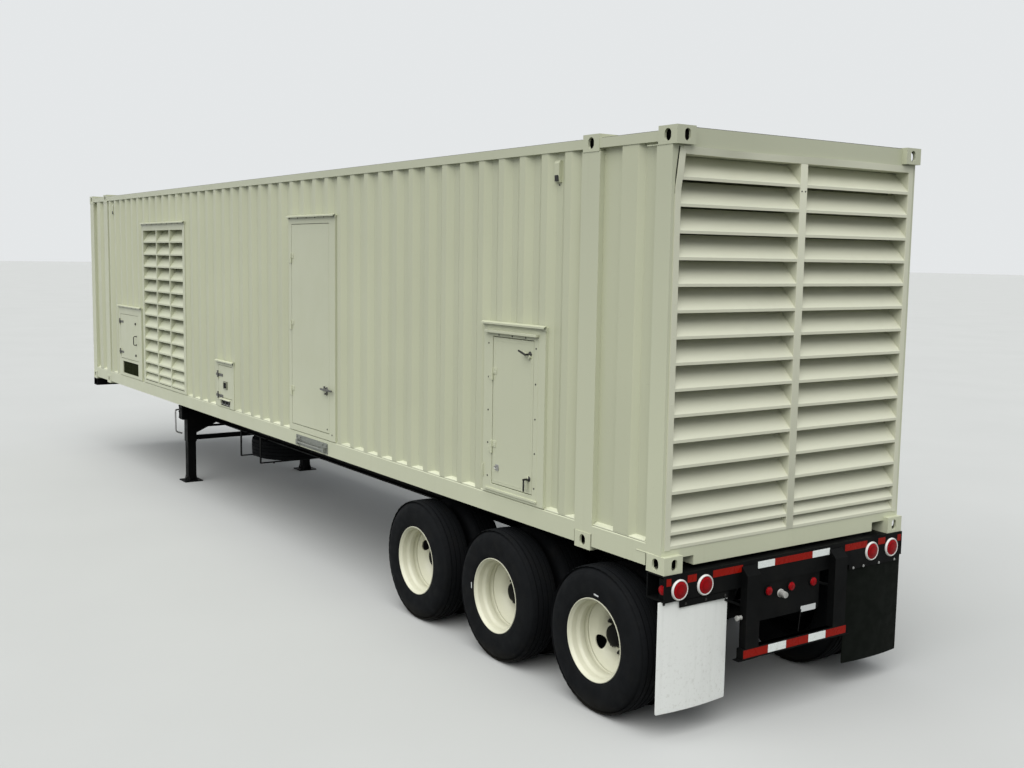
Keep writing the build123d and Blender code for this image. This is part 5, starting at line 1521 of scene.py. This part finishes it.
class GENSET_OT_stage(bpy.types.Operator):
    """Pale floor, even light and the camera"""

    bl_idname = "genset.stage"
    bl_label = "Stage"

    def execute(self, context):
        scene = context.scene
        sizes = scene.genset_stage
        steps = np.linspace(-sizes.floor_size, sizes.floor_size, 9)
        points, quads, _ = sheet_grid(np.stack([*np.meshgrid(steps, steps), np.full((9, 9), -0.001)], -1))
        mesh = bpy.data.meshes.new("studio_floor")
        mesh.from_pydata(points.tolist(), [], quads.tolist())
        floor = linked("studio_floor", mesh)
        f = Finish("studio_floor", Roughness=0.85, Specular_IOR_Level=0.1)
        f.show(f.mix(f.noise(0.4, 2), (0.46, 0.47, 0.465), (0.5, 0.51, 0.505)))
        dim = f.add("ShaderNodeBsdfDiffuse", {"Color": (0.12, 0.125, 0.105, 1)})
        both = {0: plainly_seen(f.tree), 1: dim.outputs[0], 2: f.shader.outputs[0]}
        share = f.add("ShaderNodeMixShader", both)
        feed(f.tree, f.tree.nodes["Material Output"].inputs["Surface"], share.outputs[0])
        mesh.materials.append(f.material)

        world = bpy.data.worlds.new("studio")
        scene.world = world
        world.use_nodes = True
        tree = world.node_tree
        tree.nodes.clear()
        even = node_in(tree, "ShaderNodeBackground", {"Color": (0.94, 0.97, 1.0, 1), "Strength": sizes.sky})
        shown = node_in(tree, "ShaderNodeBackground", {"Color": (0.78, 0.8, 0.81, 1), "Strength": 1.0})
        both = {0: plainly_seen(tree), 1: even.outputs[0], 2: shown.outputs[0]}
        mix = node_in(tree, "ShaderNodeMixShader", both)
        node_in(tree, "ShaderNodeOutputWorld", {"Surface": mix.outputs[0]})

        sun = bpy.data.lights.new("soft_overhead", "SUN")
        sun.energy = sizes.sun
        sun.angle = np.radians(75)
        sun.color = (1.0, 0.99, 0.96)
        lamp = linked("soft_overhead", sun)
        lamp.rotation_mode = "QUATERNION"
        lamp.rotation_quaternion = Vector((-0.33, 0.47, -0.9)).to_track_quat("-Z", "Y")

        camera = bpy.data.cameras.new("photo_camera")
        camera.sensor_width = 36
        camera.lens = 40.524
        camera.clip_start, camera.clip_end = 0.1, 2000
        eye = linked("photo_camera", camera)
        yaw, pitch, roll = np.radians([145.3607, -6.3359, 0.8805])
        ahead = np.array([np.cos(pitch) * np.cos(yaw), np.cos(pitch) * np.sin(yaw), np.sin(pitch)])
        right = np.cross(ahead, Z)
        right /= np.linalg.norm(right)
        up = np.cross(right, ahead)
        across = right * np.cos(roll) + up * np.sin(roll)
        upward = -right * np.sin(roll) + up * np.cos(roll)
        turn = Matrix(np.stack([across, upward, -ahead], axis=1).tolist()).to_4x4()
        eye.matrix_world = Matrix.Translation((12.276, -6.213, 3.1895)) @ turn
        scene.camera = eye
        scene.view_settings.view_transform = "Standard"
        return {"FINISHED"}


class GENSET_PT_panel(bpy.types.Panel):
    """Sizes, colours and build steps"""

    bl_idname = "GENSET_PT_panel"
    bl_label = "Diesel generator"
    bl_space_type = "VIEW_3D"
    bl_region_type = "UI"
    bl_category = "Generator"

    def draw(self, context):
        for name in GROUPS:
            group = getattr(context.scene, name)
            box = self.layout.box()
            for key in group.bl_rna.properties.keys():
                if key not in ("rna_type", "name"):
                    box.prop(group, key)
        for operator in STEPS:
            self.layout.operator(operator.bl_idname)


GROUPS = {
    "genset_paint": GENSET_PG_paint,
    "genset_wheels": GENSET_PG_wheels,
    "genset_fittings": GENSET_PG_fittings,
    "genset_stage": GENSET_PG_stage,
}
STEPS = (
    GENSET_OT_finishes,
    GENSET_OT_tyres,
    GENSET_OT_wheels,
    GENSET_OT_rear_lights,
    GENSET_OT_mud_flaps,
    GENSET_OT_louvre_frame,
    GENSET_OT_hinges,
    GENSET_OT_door_hardware,
    GENSET_OT_wall_fittings,
    GENSET_OT_suspension,
    GENSET_OT_landing_gear,
    GENSET_OT_stage,
)


def register():
    for each in (*GROUPS.values(), *STEPS, GENSET_PT_panel):
        bpy.utils.register_class(each)
    for name, group in GROUPS.items():
        setattr(bpy.types.Scene, name, bpy.props.PointerProperty(type=group))


def unregister():
    for name in GROUPS:
        delattr(bpy.types.Scene, name)
    for each in reversed((*GROUPS.values(), *STEPS, GENSET_PT_panel)):
        bpy.utils.unregister_class(each)


def main():
    register()
    for step in STEPS:
        group, name = step.bl_idname.split(".")
        getattr(getattr(bpy.ops, group), name)()


if __name__ == "__main__":
    main()
